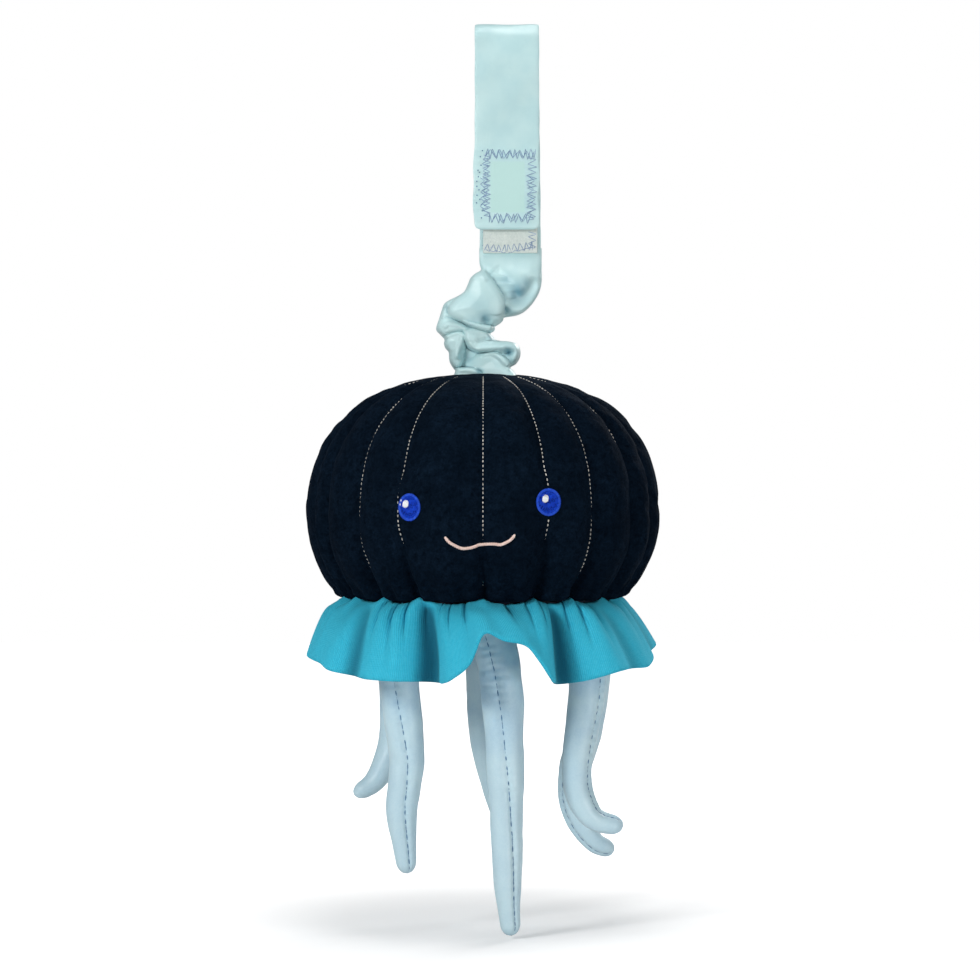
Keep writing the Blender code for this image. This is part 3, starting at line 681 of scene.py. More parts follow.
THREADS = {
    "blue embroidery thread": ((0.004, 0.060, 0.600), (0.003, 0.032, 0.400), 0.6, 0.0, 0.15),
    "light blue embroidery thread": ((0.010, 0.092, 0.700), (0.006, 0.055, 0.500), 0.5, 0.03, 0.3),
    "white embroidery thread": ((0.92, 0.93, 0.93), (0.82, 0.84, 0.86)),
    "peach embroidery thread": ((0.90, 0.73, 0.66), (0.76, 0.52, 0.45)),
    "cream sewing thread": ((0.74, 0.70, 0.63), (0.48, 0.46, 0.42), 0.55),
    "slate blue sewing thread": ((0.270, 0.400, 0.590), (0.150, 0.240, 0.420)),
    "blue sewing thread": ((0.130, 0.270, 0.440), (0.080, 0.180, 0.330), 0.6),
}
TAPES = {
    "hook tape": ((0.66, 0.77, 0.76), (0.52, 0.64, 0.64), 1400.0),
    "loop tape": ((0.74, 0.80, 0.76), (0.58, 0.66, 0.63), 1600.0),
    "elastic web": ((0.78, 0.79, 0.78), (0.62, 0.63, 0.62), 1100.0),
    "navy panel cloth": ((0.016, 0.030, 0.065), (0.008, 0.016, 0.036), 1700.0),
}
threads = {name: make_thread(name, *looks) for name, looks in THREADS.items()}
tapes = {name: make_tape(name, *looks) for name, looks in TAPES.items()}
print(len(threads), "threads and", len(tapes), "tapes ready")

# %% [markdown]
# ## Pieces that keep the model's own shape
# The two fastener patches and the hidden elastic are flat strips whose solid shape is
# already right, so they only get their cloth.

# %% Finish the kept strips
for node_name, tape_name in (
    ("hook_patch", "hook tape"),
    ("loop_patch", "loop tape"),
    ("sleeve_elastic", "elastic web"),
):
    for strip_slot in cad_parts[node_name].material_slots:
        strip_slot.material = tapes[tape_name]
    print(node_name, "wears", tape_name)

# %% [markdown]
# ## The bell
# The bell is a pumpkin of velour gores, sewn edge to edge, turned and stuffed. Each gore
# swells between its two seams, and the whole lower edge is gathered to a smaller ring, so
# it breaks into short pleats. It could be a sphere with a pattern of bumps, but then the
# seams would only be painted. Here the grid's columns run along the gores, so every seam
# is a true valley, and the same rule that shapes the cloth also seats the stitches.

# %% Gores and profile of the bell
FACE_SEAMS = (-75.0, -64.4, -45.6, -27.8, 0.0, 21.1, 38.7, 58.9, 73.6)
BACK_GORES = 11
DOME_POWER = 2.32
SKIRT_POWER = 2.3
DOME_ROWS = 40
SKIRT_ROWS = 20
CROWN_RADIUS = 0.013
GORE_PUFF = 0.0023
SCALLOP_RISE = 0.0028
SEAM_GROOVE = 0.0009
SEAM_GROOVE_WIDTH = 0.0013
PLEAT_DEPTH = 0.0026
PLEAT_REACH = 0.0125
TURNED_EDGE = ((0.0032, 0.0014, 1.0), (0.0024, 0.0004, 0.8), (0.0012, -0.0001, 0.5), (-0.0008, 0.0001, 0.2))


def all_seams():
    """Angles of the seams round the bell, and the first one again after a full turn."""
    span = 360.0 + FACE_SEAMS[0] - FACE_SEAMS[-1]
    back = [FACE_SEAMS[-1] + span * gore / BACK_GORES for gore in range(1, BACK_GORES)]
    return np.array(list(FACE_SEAMS) + back + [360.0 + FACE_SEAMS[0]])


def bell_profile():
    """Radius, level and fullness of the gores from the crown to the seam, evenly spread."""
    power = 2.0 / DOME_POWER
    crown_turn = math.asin((CROWN_RADIUS / BELL_RADIUS) ** (1 / power))
    crown_lift = math.cos(crown_turn) ** power
    rows = [(0.0, CROWN_LEVEL - 0.0012, 0.0), (0.007, CROWN_LEVEL - 0.0006, 0.1)]
    for share in np.linspace(0.0, 1.0, DOME_ROWS):
        turn = mix(crown_turn, math.pi / 2, share)
        radius = BELL_RADIUS * math.sin(turn) ** power
        lift = max(math.cos(turn), 0.0) ** power / crown_lift
        full = float(ease(share * 2.5)) * mix(0.7, 1.0, share)
        rows.append((radius, RING_LEVEL + DOME_HEIGHT * lift, max(full, 0.25)))
    for down in np.linspace(0.05, 0.88, SKIRT_ROWS):
        radius = mix(BELL_RADIUS, SEAM_RADIUS, down ** SKIRT_POWER)
        rows.append((radius, RING_LEVEL - SKIRT_HEIGHT * down, mix(1.0, 1.15, down)))
    rows += [(SEAM_RADIUS + out, SEAM_LEVEL + up, full) for out, up, full in TURNED_EDGE]
    return np.array(rows)


SEAMS = all_seams()
PROFILE = spread_evenly(bell_profile(), 400, places=2)
PROFILE_LENGTH = line_length(PROFILE[:, :2])
print(len(SEAMS) - 1, "gores, each", round(PROFILE_LENGTH * 1000, 1), "mm long")

# %% Face places that calm the gores
EYES = {
    "left": ((-0.0271, 0.0029), (0.0081, 0.0101)),
    "right": ((0.0241, 0.0048), (0.0091, 0.0101)),
}
EYE_FLAT_RADIUS = 0.0085


def gore_share(angle):
    """Number of the gore at an angle, how far across it that is, and the gore's span."""
    wound = np.where(angle < SEAMS[0], angle + 360.0, angle)
    gore = np.clip(np.searchsorted(SEAMS, wound, side="right") - 1, 0, len(SEAMS) - 2)
    span = SEAMS[gore + 1] - SEAMS[gore]
    return gore, (wound - SEAMS[gore]) / span, span


def scallop(angle):
    """How far the bell's lower edge is drawn up at an angle: most at the seams."""
    _, share, _ = gore_share(angle)
    return SCALLOP_RISE * np.abs(2 * share - 1) ** 2.2


def face_calm(across, level, front):
    """Share of the gores' fullness that is left beside the embroidered eyes."""
    calm = np.ones_like(across)
    for place, _ in EYES.values():
        distance = np.hypot(across - place[0], level - RING_LEVEL - place[1])
        calm *= ease((distance / EYE_FLAT_RADIUS - 0.6) / 1.2)
    return np.where(front, calm, 1.0)


def bell_surface(angle, down, raised=0.0):
    """Points of the bell's cloth at angles in degrees from the front and shares down."""
    angle = np.asarray(angle, float)
    gore, share, span = gore_share(angle)
    radius, level, full = read_rows(PROFILE, down * (len(PROFILE) - 1))
    turn = np.radians(angle)
    across = radius * np.sin(turn)
    calm = face_calm(across, level, np.cos(turn) > 0)
    puff = 1 - np.abs(2 * share - 1) ** 2.4
    out = GORE_PUFF * full * mix(1.0, puff, calm)
    from_seam = np.minimum(share, 1 - share) * np.radians(span) * radius
    groove = np.exp(-(from_seam / SEAM_GROOVE_WIDTH) ** 1.3)
    out -= SEAM_GROOVE * np.clip(full, 0.0, 1.0) * mix(0.35, 1.0, calm) * groove
    above = np.clip((level - SEAM_LEVEL) / PLEAT_REACH, 0.0, 4.0)
    fade = np.exp(-above ** 1.6)
    count = np.where(gore % 3 == 0, 3.0, 2.0)
    phase = 0.9 * np.sin(2.3 * gore + 0.4)
    pleats = np.abs(np.cos(math.pi * (count * share + 0.12 * phase * np.sin(2 * math.pi * share))))
    out -= PLEAT_DEPTH * fade * pleats ** 3.0 * ease((down - 0.5) / 0.3)
    rise = scallop(angle) * np.exp(-above * 1.6) * np.clip((radius - SEAM_RADIUS) / 0.002, 0.0, 1.0)
    return around_axis(radius + out + raised, turn, level + rise)


print("front of the bell at y =", round(float(bell_surface([10.0], np.array([0.6]))[0][1]), 4))

# %% Sew and stuff the bell
GORE_COLUMNS = 24
BELL_ROWS = 150
STUFFING_LUMP = 0.00045
LUMP_SIZE = 0.014
SMALL_LUMP_SIZE = 0.005
BELL_BOTTOM_ROWS = 8


def bell_points(around, down):
    """Place of every point of the velour: columns follow the gores, rows go to the seam."""
    columns = around * (len(SEAMS) - 1)
    angle = np.interp(columns, np.arange(len(SEAMS)), SEAMS)
    side = np.clip(down / (1 - BELL_BOTTOM_ROWS / BELL_ROWS), 0.0, 1.0)
    under = np.clip((down - 1 + BELL_BOTTOM_ROWS / BELL_ROWS) * BELL_ROWS / BELL_BOTTOM_ROWS, 0.0, 1.0)
    points = bell_surface(angle, side)
    centre = np.array([AXIS_X, 0.0, 0.0])
    points[:, :2] = (centre + (points - centre) * (1 - under)[:, None])[:, :2]
    away = points - np.array([AXIS_X, 0.0, RING_LEVEL])
    away /= np.maximum(np.linalg.norm(away, axis=1), 1e-9)[:, None]
    unseen = np.where(under > 0, 0.0, 1.0) * ease(down / 0.06)
    uneven = STUFFING_LUMP * lumps(points, LUMP_SIZE, 3.1)
    uneven += 0.3 * STUFFING_LUMP * lumps(points, SMALL_LUMP_SIZE, 7.7)
    return points + away * (uneven * unseen)[:, None]


print("bell grid of", GORE_COLUMNS * (len(SEAMS) - 1), "by", BELL_ROWS)

# %% [markdown]
# The gores between the seams are filled by a cloth simulation: the same rule makes a
# coarse sewing pattern of the bell, its seams are pinned, and pressure from inside stands
# for the stuffing. What it adds is carried over to the fine grid.

# %% Stuffing presses on the gores
PATTERN_COLUMNS = 6
PATTERN_ROWS = 60
STUFFING_PRESSURE = 4.0
STUFFING_FRAMES = 20
STUFFING_CAP = 0.0015
EXTRA_CLOTH = 0.03
PATTERN_SCALE = 10.0
PATTERN_SPAN = (0.05, 0.93)


def pattern_points(around, down):
    """Place of every point of the coarse pattern, which is ten times the bell's size."""
    return bell_points(around, mix(*PATTERN_SPAN, 1 - down)) * PATTERN_SCALE


def stuffing_moves():
    """How far the stuffing moves each point of the coarse pattern."""
    columns = PATTERN_COLUMNS * (len(SEAMS) - 1)
    moves = np.zeros((PATTERN_ROWS + 1, columns + 1, 3))
    mesh = cloth_mesh("gore_pattern", columns, PATTERN_ROWS, pattern_points, (1.0, 1.0), wrap=False)
    pattern = put_in_scene("gore_pattern", mesh)
    seams = pattern.vertex_groups.new(name="seams")
    for row in range(PATTERN_ROWS + 1):
        for column in range(columns + 1):
            if column % PATTERN_COLUMNS == 0 or row in (0, PATTERN_ROWS - 1, PATTERN_ROWS):
                seams.add([row * (columns + 1) + column], 1.0, "REPLACE")
    before = points_of(mesh)
    cloth = pattern.modifiers.new("stuffing", "CLOTH")
    cloth.settings.vertex_group_mass = "seams"
    cloth.settings.use_pressure = True
    cloth.settings.uniform_pressure_force = STUFFING_PRESSURE
    cloth.settings.shrink_min = -EXTRA_CLOTH
    cloth.settings.effector_weights.gravity = 0.0
    cloth.point_cache.frame_start = 1
    cloth.point_cache.frame_end = STUFFING_FRAMES
    for step in range(1, STUFFING_FRAMES + 1):
        bpy.context.scene.frame_set(step)
    evaluated = pattern.evaluated_get(bpy.context.evaluated_depsgraph_get())
    after = points_of(evaluated.data)
    bpy.context.scene.frame_set(1)
    bpy.data.objects.remove(pattern)
    bpy.data.meshes.remove(mesh)
    moves = (after - before).reshape(moves.shape)[::-1] / PATTERN_SCALE
    size = np.linalg.norm(moves, axis=2, keepdims=True)
    moves *= np.minimum(1.0, STUFFING_CAP / np.maximum(size, 1e-9))
    moves[1:-1] = (moves[:-2] + 2 * moves[1:-1] + moves[2:]) / 4
    return moves


STUFFING = stuffing_moves()
largest_move = float(np.linalg.norm(STUFFING, axis=2).max())
print("stuffing moves the cloth up to", round(largest_move * 1000, 2), "mm")


def stuffed_points(around, down):
    """Place of every point of the fine grid, with what the stuffing added."""
    place = (down - PATTERN_SPAN[0]) / (PATTERN_SPAN[1] - PATTERN_SPAN[0])
    column, row = around * (STUFFING.shape[1] - 1), place * (STUFFING.shape[0] - 1)
    points = bell_points(around, down)
    calm = face_calm(points[:, 0] - AXIS_X, points[:, 2], points[:, 1] < 0)
    held = calm * ease((place - 0.04) / 0.22) * ease((1 - place) / 0.04)
    return points + read_grid(STUFFING, column, row, ease) * held[:, None]

# %% Cut and sew the bell
bell_mesh = cloth_mesh(
    "velour_bell",
    GORE_COLUMNS * (len(SEAMS) - 1),
    BELL_ROWS,
    stuffed_points,
    (2 * math.pi * BELL_RADIUS, PROFILE_LENGTH),
)
bell = add_piece("velour_bell", bell_mesh, navy)
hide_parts("bell")
print("bell has", count_triangles(bell), "triangles")

# %% [markdown]
# ## Stitches down the bell's seams
# A row of cream running stitches shows on each seam and sinks into the pile lower down.
# Each stitch is a bead laid along the seam's own valley.

# %% Cream stitches
SEAM_STITCH_PITCH = 0.0017
SEAM_STITCH_LENGTH = 0.00105
SEAM_STITCH_RADIUS = 0.00025
SEAM_STITCH_SPAN = (0.17, 0.95)
SUNK_STITCHES = (0.00030, 0.00028, 0.00022, 0.00010, 0.00004, 0.00004, 0.00010, 0.00022, 0.00028)
SUNK_BEHIND = 0.00024
SHORT_ROWS = (3, 4, 5)
SHORT_ROWS_END = 0.76
EYE_COVER = 1.12


def under_eye(point):
    """Whether a point of the bell's front is covered by an embroidered eye."""
    for place, size in EYES.values():
        across = (point[0] - AXIS_X - place[0]) / (size[0] / 2)
        up = (point[2] - RING_LEVEL - place[1]) / (size[1] / 2)
        if point[1] < 0 and math.hypot(across, up) < EYE_COVER:
            return True
    return False


def stitch_depth(index, stitch, down):
    """How far a stitch lies sunk in the pile: deeper at both ends of its row."""
    sunk = SUNK_STITCHES[index] if index < len(SUNK_STITCHES) else SUNK_BEHIND
    sunk += 0.00007 * math.sin(index * 2.1 + stitch * 0.9)
    sunk += 0.00010 * math.sin(index * 1.3 + stitch * 0.23)
    if index in SHORT_ROWS:
        sunk += 0.0006 * float(ease((down - SHORT_ROWS_END) / 0.06))
    return sunk + 0.0005 * (1 - float(ease((down - 0.20) / 0.12)))


def seam_stitches():
    """Start and end of each stitch on each seam."""
    spans = []
    count = int(PROFILE_LENGTH / SEAM_STITCH_PITCH)
    half = SEAM_STITCH_LENGTH / PROFILE_LENGTH / 2
    first, last = (int(count * share) for share in SEAM_STITCH_SPAN)
    for index, seam in enumerate(SEAMS[:-1]):
        for stitch in range(first, last):
            down = (stitch + 0.08 * math.sin(stitch * 1.7 + index)) / count
            raised = 0.00022 - stitch_depth(index, stitch, down)
            ends = bell_surface([seam, seam], np.array([down - half, down + half]), raised)
            if not under_eye(ends.mean(axis=0)):
                spans.append((ends[0], ends[1]))
    return spans


cream = threads["cream sewing thread"]
bell_stitches = stitches("bell_seam_stitches", seam_stitches(), SEAM_STITCH_RADIUS, cream)
print("seam stitches", count_triangles(bell_stitches), "triangles")

# %% [markdown]
# ## The ruffle
# The ruffle is one long strip of ribbed jersey, folded along its length, gathered and sewn
# under the bell. Its hem is the fold, so it is round and thick. The grid goes down the
# outside, round the fold and up the inside, and its columns are spread evenly along the
# hem, as the strip's own cloth is.

# %% Strip points of the ruffle
RUFFLE_THICKNESS = 0.0016
JERSEY_THICKNESS = 0.00045
RUFFLE_FLARE = 0.88
RUFFLE_LEFT_FLARE = 0.50
RUFFLE_FALL = 1.36
RUFFLE_OUT = 0.020
RUFFLE_DROP = 0.020
RUFFLE_FACE = (
    (-92.0, -92.0, 0.70, 1.075), (-80.0, -78.0, 0.85, 1.10), (-68.0, -63.0, 0.90, 1.16),
    (-58.0, -54.0, 0.98, 1.29), (-50.0, -46.5, 0.74, 1.385), (-42.0, -37.5, 0.90, 1.42),
    (-34.0, -29.0, 0.85, 1.44), (-26.0, -21.5, 0.40, 1.46), (-20.0, -16.5, 0.30, 1.48),
    (-16.5, -12.5, 0.80, 1.46), (-13.5, -9.0, 1.15, 1.37), (-8.5, -3.8, 1.25, 1.08),
    (-3.0, 0.2, 1.225, 0.51), (3.0, 6.0, 1.20, 0.635), (10.0, 12.4, 1.175, 0.74),
    (17.0, 16.2, 1.15, 1.02), (22.0, 19.6, 1.10, 1.34), (25.5, 23.0, 0.75, 1.45),
    (30.5, 28.5, 0.38, 1.52), (37.0, 35.5, 0.75, 1.44), (46.0, 45.0, 1.00, 1.28),
    (56.0, 56.0, 0.80, 1.26), (66.0, 65.0, 0.85, 1.25), (78.0, 77.0, 0.75, 1.135),
)
RUFFLE_BACK_FOLDS = 7
RUFFLE_BACK_OUT = (0.65, 0.875)
RUFFLE_BACK_DROP = (1.04, 0.95)
RUFFLE_SAMPLES = 1200


def ruffle_strip():
    """Place in the seam, place at the hem, reach and drop of evenly spread strip points."""
    rows = [list(row) for row in RUFFLE_FACE]
    span = 360.0 + RUFFLE_FACE[0][0] - RUFFLE_FACE[-1][0]
    folds = 2 * RUFFLE_BACK_FOLDS
    for step in range(1, folds):
        angle = RUFFLE_FACE[-1][0] + span * step / folds
        ridge = (step + 1) % 2
        rows.append([angle, angle, RUFFLE_BACK_OUT[ridge], RUFFLE_BACK_DROP[ridge]])
    rows = np.array(rows)
    turn = np.array([360.0, 360.0, 0.0, 0.0])
    around = np.vstack([rows[-1:] - turn, rows, rows[:2] + turn])
    dense = np.vstack([spline(around, 24), rows[:1] + turn])
    top, hem = np.radians(dense[:, :2]).T
    out, drop = dense[:, 2] * RUFFLE_OUT, dense[:, 3] * RUFFLE_DROP
    reach = SEAM_RADIUS + out
    line = np.stack([reach * np.sin(hem), reach * np.cos(hem), drop, top, hem, out], axis=1)
    return spread_evenly(line, RUFFLE_SAMPLES, places=3), line_length(line[:, :3])


STRIP, HEM_LENGTH = ruffle_strip()
print("the hem runs", round(HEM_LENGTH * 1000), "mm round")

# %% Gather the ruffle
RUFFLE_COLUMNS = 420
RUFFLE_ROWS = 52
RUFFLE_LENGTH = 0.031
HEM_ROUND = 0.035
GATHER_DEPTH = 0.0026
# FOLD_WINDOW, FOLD_FULL_DEPTH and FOLD_SHADE set the painted shade in the ruffle's valleys.
FOLD_WINDOW = 24
FOLD_FULL_DEPTH = 0.0033
FOLD_SHADE = 0.92
RUFFLE_RIDGES = (
    (-66.0, 0.0014, 4.0), (-48.0, -0.0024, 4.0), (-39.0, 0.0016, 3.5), (-33.0, -0.0010, 2.5),
    (-28.0, 0.0014, 2.5), (-19.0, -0.0024, 3.0), (-12.0, 0.0022, 2.4), (2.0, -0.0014, 3.0),
    (8.0, 0.0014, 2.5), (14.0, -0.0012, 2.2), (20.0, 0.0024, 2.4), (28.5, -0.0030, 3.2),
    (42.0, 0.0014, 4.0), (53.0, -0.0014, 3.5), (62.0, 0.0016, 4.0), (84.0, -0.0015, 6.0),
    (98.0, 0.0018, 6.0), (121.0, -0.0020, 7.0), (139.0, 0.0022, 6.0), (160.0, -0.0018, 7.0),
    (181.0, 0.0020, 7.0), (203.0, -0.0022, 7.0), (222.0, 0.0020, 6.0), (244.0, -0.0018, 7.0),
    (262.0, 0.0016, 6.0),
)


def gather_wave(place):
    """Uneven small pleats along the strip, from its place along the hem as a share."""
    slow = 2 * math.pi * place
    beat = 38 * slow + 2.6 * np.sin(5 * slow + 0.7) + 1.7 * np.sin(11 * slow + 2.0)
    return (np.abs(np.cos(beat / 2)) * 2 - 1.27) * (0.75 + 0.35 * np.sin(7 * slow + 1.1))


def ruffle_wall(place, down):
    """Middle of the folded ruffle at a share along the hem and a share from seam to hem."""
    drop, top, hem, out = read_rows(STRIP[:, 2:], place * (RUFFLE_SAMPLES - 1))
    edge = SEAM_RADIUS - 0.0005
    edge_level = SEAM_LEVEL - 0.0003 - RUFFLE_THICKNESS / 2
    angle = mix(top, hem, ease(down))
    flare = mix(RUFFLE_FLARE, RUFFLE_LEFT_FLARE, bump_at(np.degrees(hem), -85.0, 30.0))
    reach = edge + (out + 0.0005) * np.maximum(down, 0.0) ** flare
    level = edge_level - (drop - RUFFLE_THICKNESS / 2) * np.maximum(down, 0.0) ** RUFFLE_FALL
    wave = gather_wave(place) * GATHER_DEPTH
    fade = mix(0.35, 1.0, ease(down / 0.10)) * np.exp(-(np.maximum(down - 0.08, 0.0) / 0.36) ** 1.5)
    reach += wave * fade
    level -= 0.5 * np.abs(wave) * fade
    level += 0.85 * scallop(np.degrees(top)) * np.exp(-(down / 0.16) ** 2)
    for ridge_angle, ridge_height, ridge_width in RUFFLE_RIDGES:
        off = np.degrees(np.angle(np.exp(1j * (hem - math.radians(ridge_angle)))))
        reach += ridge_height * np.exp(-(off / ridge_width) ** 2) * ease(down / 0.25) * (1 - 0.75 * down)
    return around_axis(reach, angle, level)


def ruffle_points(place, along):
    """Outer layer, round hem and inner layer of the folded strip."""
    along = 1 - along
    fold = (RUFFLE_THICKNESS - JERSEY_THICKNESS) / 2
    outer = np.clip(along / (0.5 - HEM_ROUND), 0.0, 1.0)
    inner = np.clip((1 - along) / (0.5 - HEM_ROUND), 0.0, 1.0)
    down = np.where(along < 0.5, outer, inner) * (1 - fold / RUFFLE_LENGTH)
    turn = np.clip((along - 0.5 + HEM_ROUND) / (2 * HEM_ROUND), 0.0, 1.0) * math.pi
    middle = ruffle_wall(place, down)
    step = 1e-3
    before, after = np.clip(place - step, 0.0, 1.0), np.clip(place + step, 0.0, 1.0)
    above = np.maximum(down - step, 0.0)
    sideways = ruffle_wall(after, down) - ruffle_wall(before, down)
    downward = ruffle_wall(place, above + 2 * step) - ruffle_wall(place, above)
    normal = np.cross(sideways, downward)
    normal /= -np.linalg.norm(normal, axis=1)[:, None]
    downward /= np.linalg.norm(downward, axis=1)[:, None]
    pinch = mix(0.45, 1.0, ease(down / 0.25))
    layer = normal * (fold * pinch * np.cos(turn))[:, None]
    return middle + layer + downward * (fold * np.sin(turn))[:, None]


def ruffle_painted_shade():
    """Share from 0 to 1 of painted shade at each place of the ruffle, in the valleys between folds."""
    columns = np.linspace(0.0, 1.0, RUFFLE_COLUMNS + 1)
    rows = []
    for down in np.linspace(0.0, 1.0, 31):
        wall = ruffle_wall(columns, np.full(len(columns), down))
        reach = np.hypot(wall[:, 0] - AXIS_X, wall[:, 1])
        around = np.concatenate([reach[-FOLD_WINDOW - 1:-1], reach, reach[1:FOLD_WINDOW + 1]])
        mean = np.convolve(around, np.hanning(2 * FOLD_WINDOW + 1) / FOLD_WINDOW, mode="valid")
        rows.append(np.clip((mean - reach) / FOLD_FULL_DEPTH, 0.0, 1.0) * ease((down + 0.25) / 0.4))
    return np.array(rows) * FOLD_SHADE


def keep_fold_shade(mesh):
    """Keep on the outer layer's points the painted shade of its valleys, read by their flat map."""
    grid = ruffle_painted_shade()
    flat = np.zeros(len(mesh.loops) * 2)
    mesh.uv_layers[0].data.foreach_get("uv", flat)
    corners = np.zeros(len(mesh.loops), int)
    mesh.loops.foreach_get("vertex_index", corners)
    place, along = (flat.reshape(-1, 2) / np.array([HEM_LENGTH, 2 * RUFFLE_LENGTH])).T
    column = np.clip(place * RUFFLE_COLUMNS, 0, RUFFLE_COLUMNS).round().astype(int)
    down = np.clip((1 - along) / (0.5 - HEM_ROUND), 0.0, 1.0)
    row = (down * (len(grid) - 1)).round().astype(int)
    shares = np.zeros(len(mesh.vertices))
    shares[corners] = grid[row, column] * (1 - along < 0.5)
    mark_points(mesh, "in_fold", shares)


ruffle_flat = (HEM_LENGTH, 2 * RUFFLE_LENGTH)
ruffle_mesh = cloth_mesh("jersey_ruffle", RUFFLE_COLUMNS, RUFFLE_ROWS, ruffle_points, ruffle_flat)
keep_fold_shade(ruffle_mesh)
ruffle = add_piece("jersey_ruffle", ruffle_mesh, teal)
thicken(ruffle, JERSEY_THICKNESS)
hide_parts("ruffle")
print("ruffle has", count_triangles(ruffle), "triangles")

# %% [markdown]
# ## The panel below
# A round of plain cloth closes the bell from below and carries the tentacles. It is pulled
# tight by its seam and dips a little between the tentacles.

# %% Stretch the base panel
PANEL_CLOTH = 0.0010
PANEL_SAG = 0.0001
PANEL_TUCK = 0.0010


def panel_points(around, along):
    """Round of cloth from its middle to its edge, tucked in behind the ruffle's gathers."""
    turn = 2 * math.pi * around
    ripple = PANEL_SAG * np.cos(6 * turn) * along * (1 - along) * 4
    level = (panel_low.z + panel_high.z) / 2 + ripple
    return around_axis((PANEL_RADIUS - PANEL_TUCK) * along, turn, level)


panel_flat = (2 * math.pi * PANEL_RADIUS, PANEL_RADIUS)
panel_mesh = cloth_mesh("base_panel_cloth", 96, 18, panel_points, panel_flat)
panel = add_piece("base_panel_cloth", panel_mesh, tapes["navy panel cloth"])
thicken(panel, PANEL_CLOTH)
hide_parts("base_panel")

# %% [markdown]
# ## The tentacles
# Six long cones of pale cloth, each sewn along one side, turned and lightly stuffed, so
# they bend, wrinkle across their bends and pinch along their seam. A bevelled curve would
# be too even, so each is a grid rolled round its route, with a groove where the seam runs
# and small folds across.

# %% Routes of the tentacles
ROOT_RING_RADIUS = SEAM_RADIUS - 0.012
ROOT_LEVEL = panel_low.z - 0.0003
TENTACLE_TOP_RADIUS = 0.0081
TENTACLE_TIP_RADIUS = 0.0044
TENTACLE_TAPER = 1.4
TIP_SLIMMING = 0.20
TENTACLE_ROUTES = {
    "tentacle_front": (0.0, ((0.0, 0.0, 0.0), (0.0050, 0.0, 0.018), (0.0073, 0.0, 0.036),
        (0.0080, 0.0, 0.050), (0.0086, 0.0, 0.068), (0.0090, 0.0, 0.088), (0.0094, 0.0, 0.110),
        (0.0106, 0.0, 0.1245)), (24.0, -38.0)),
    "tentacle_front_right": (60.0, ((0.0, 0.0, 0.0), (0.0046, -0.001, 0.016), (0.0052, -0.001, 0.032),
        (0.0036, -0.001, 0.045), (0.0014, -0.002, 0.060), (0.0016, -0.002, 0.070),
        (0.0046, -0.003, 0.0785), (0.0095, -0.003, 0.0830), (0.0190, -0.003, 0.0850)), (-52.0, -58.0)),
    "tentacle_back_right": (120.0, ((0.0, 0.0, 0.0), (0.0068, 0.001, 0.016), (0.0082, 0.001, 0.032),
        (0.0060, 0.001, 0.052), (0.0014, 0.001, 0.067), (0.0006, 0.001, 0.078), (0.0036, 0.000, 0.088),
        (0.0095, -0.001, 0.0960), (0.0172, -0.002, 0.0992)), (60.0, 55.0)),
    "tentacle_back": (180.0, ((0.0, 0.0, 0.0), (0.0005, 0.0, 0.022), (0.0006, 0.0, 0.042),
        (0.0016, -0.001, 0.060), (0.0046, -0.003, 0.074), (0.0078, -0.006, 0.087),
        (0.0100, -0.009, 0.097)), (170.0, 150.0)),
    "tentacle_back_left": (240.0, ((0.0, 0.0, 0.0), (-0.0010, 0.001, 0.020), (0.0000, 0.001, 0.040),
        (-0.0010, 0.000, 0.054), (-0.0038, -0.001, 0.064), (-0.0088, -0.003, 0.0720),
        (-0.0165, -0.005, 0.0768)), (-110.0, -110.0)),
    "tentacle_front_left": (300.0, ((0.0, 0.0, 0.0), (0.0016, 0.0, 0.016), (0.0026, 0.0, 0.032),
        (0.0046, 0.0, 0.050), (0.0054, 0.0, 0.060), (0.0044, 0.0, 0.070), (0.0034, 0.0, 0.080),
        (0.0046, 0.0, 0.094), (0.0056, 0.0, 0.1035)), (27.0, -24.0)),
}
print(len(TENTACLE_ROUTES), "tentacles")

# %% Roll, sew and stuff the tentacles
TENTACLE_SIDES = 56
TENTACLE_ROWS = 200
SEAM_PINCH = 0.17
SEAM_PINCH_WIDTH = 0.20
CROSS_FOLD = 0.040
CROSS_FOLD_LENGTH = 0.0083
TENTACLE_SMALL_LUMP = 0.006
RIPPLE_LENGTH = 0.0031
THREAD_PITCH = 0.0019
THREAD_RADIUS = 0.00026


def tentacle_line(azimuth, route):
    """Middle line of a tentacle from its root, and its radius along the way."""
    root = around_axis(ROOT_RING_RADIUS, math.radians(azimuth), ROOT_LEVEL)
    line = root + smooth_line(route, TENTACLE_ROWS + 1) * np.array([1.0, 1.0, -1.0])
    length = line_length(line)
    share = np.linspace(0.0, 1.0, TENTACLE_ROWS + 1)
    radii = mix(TENTACLE_TOP_RADIUS, TENTACLE_TIP_RADIUS, share ** TENTACLE_TAPER)
    radii = radii * (1 - TIP_SLIMMING * ease((share - 0.78) / 0.22))
    radii = radii * round_edge((1 - share) * length / (radii[-1] * 1.25))
    radii = radii * mix(0.93, 1.0, ease(share * length / 0.0012))
    radii[0] = 0.0
    return line, radii, length


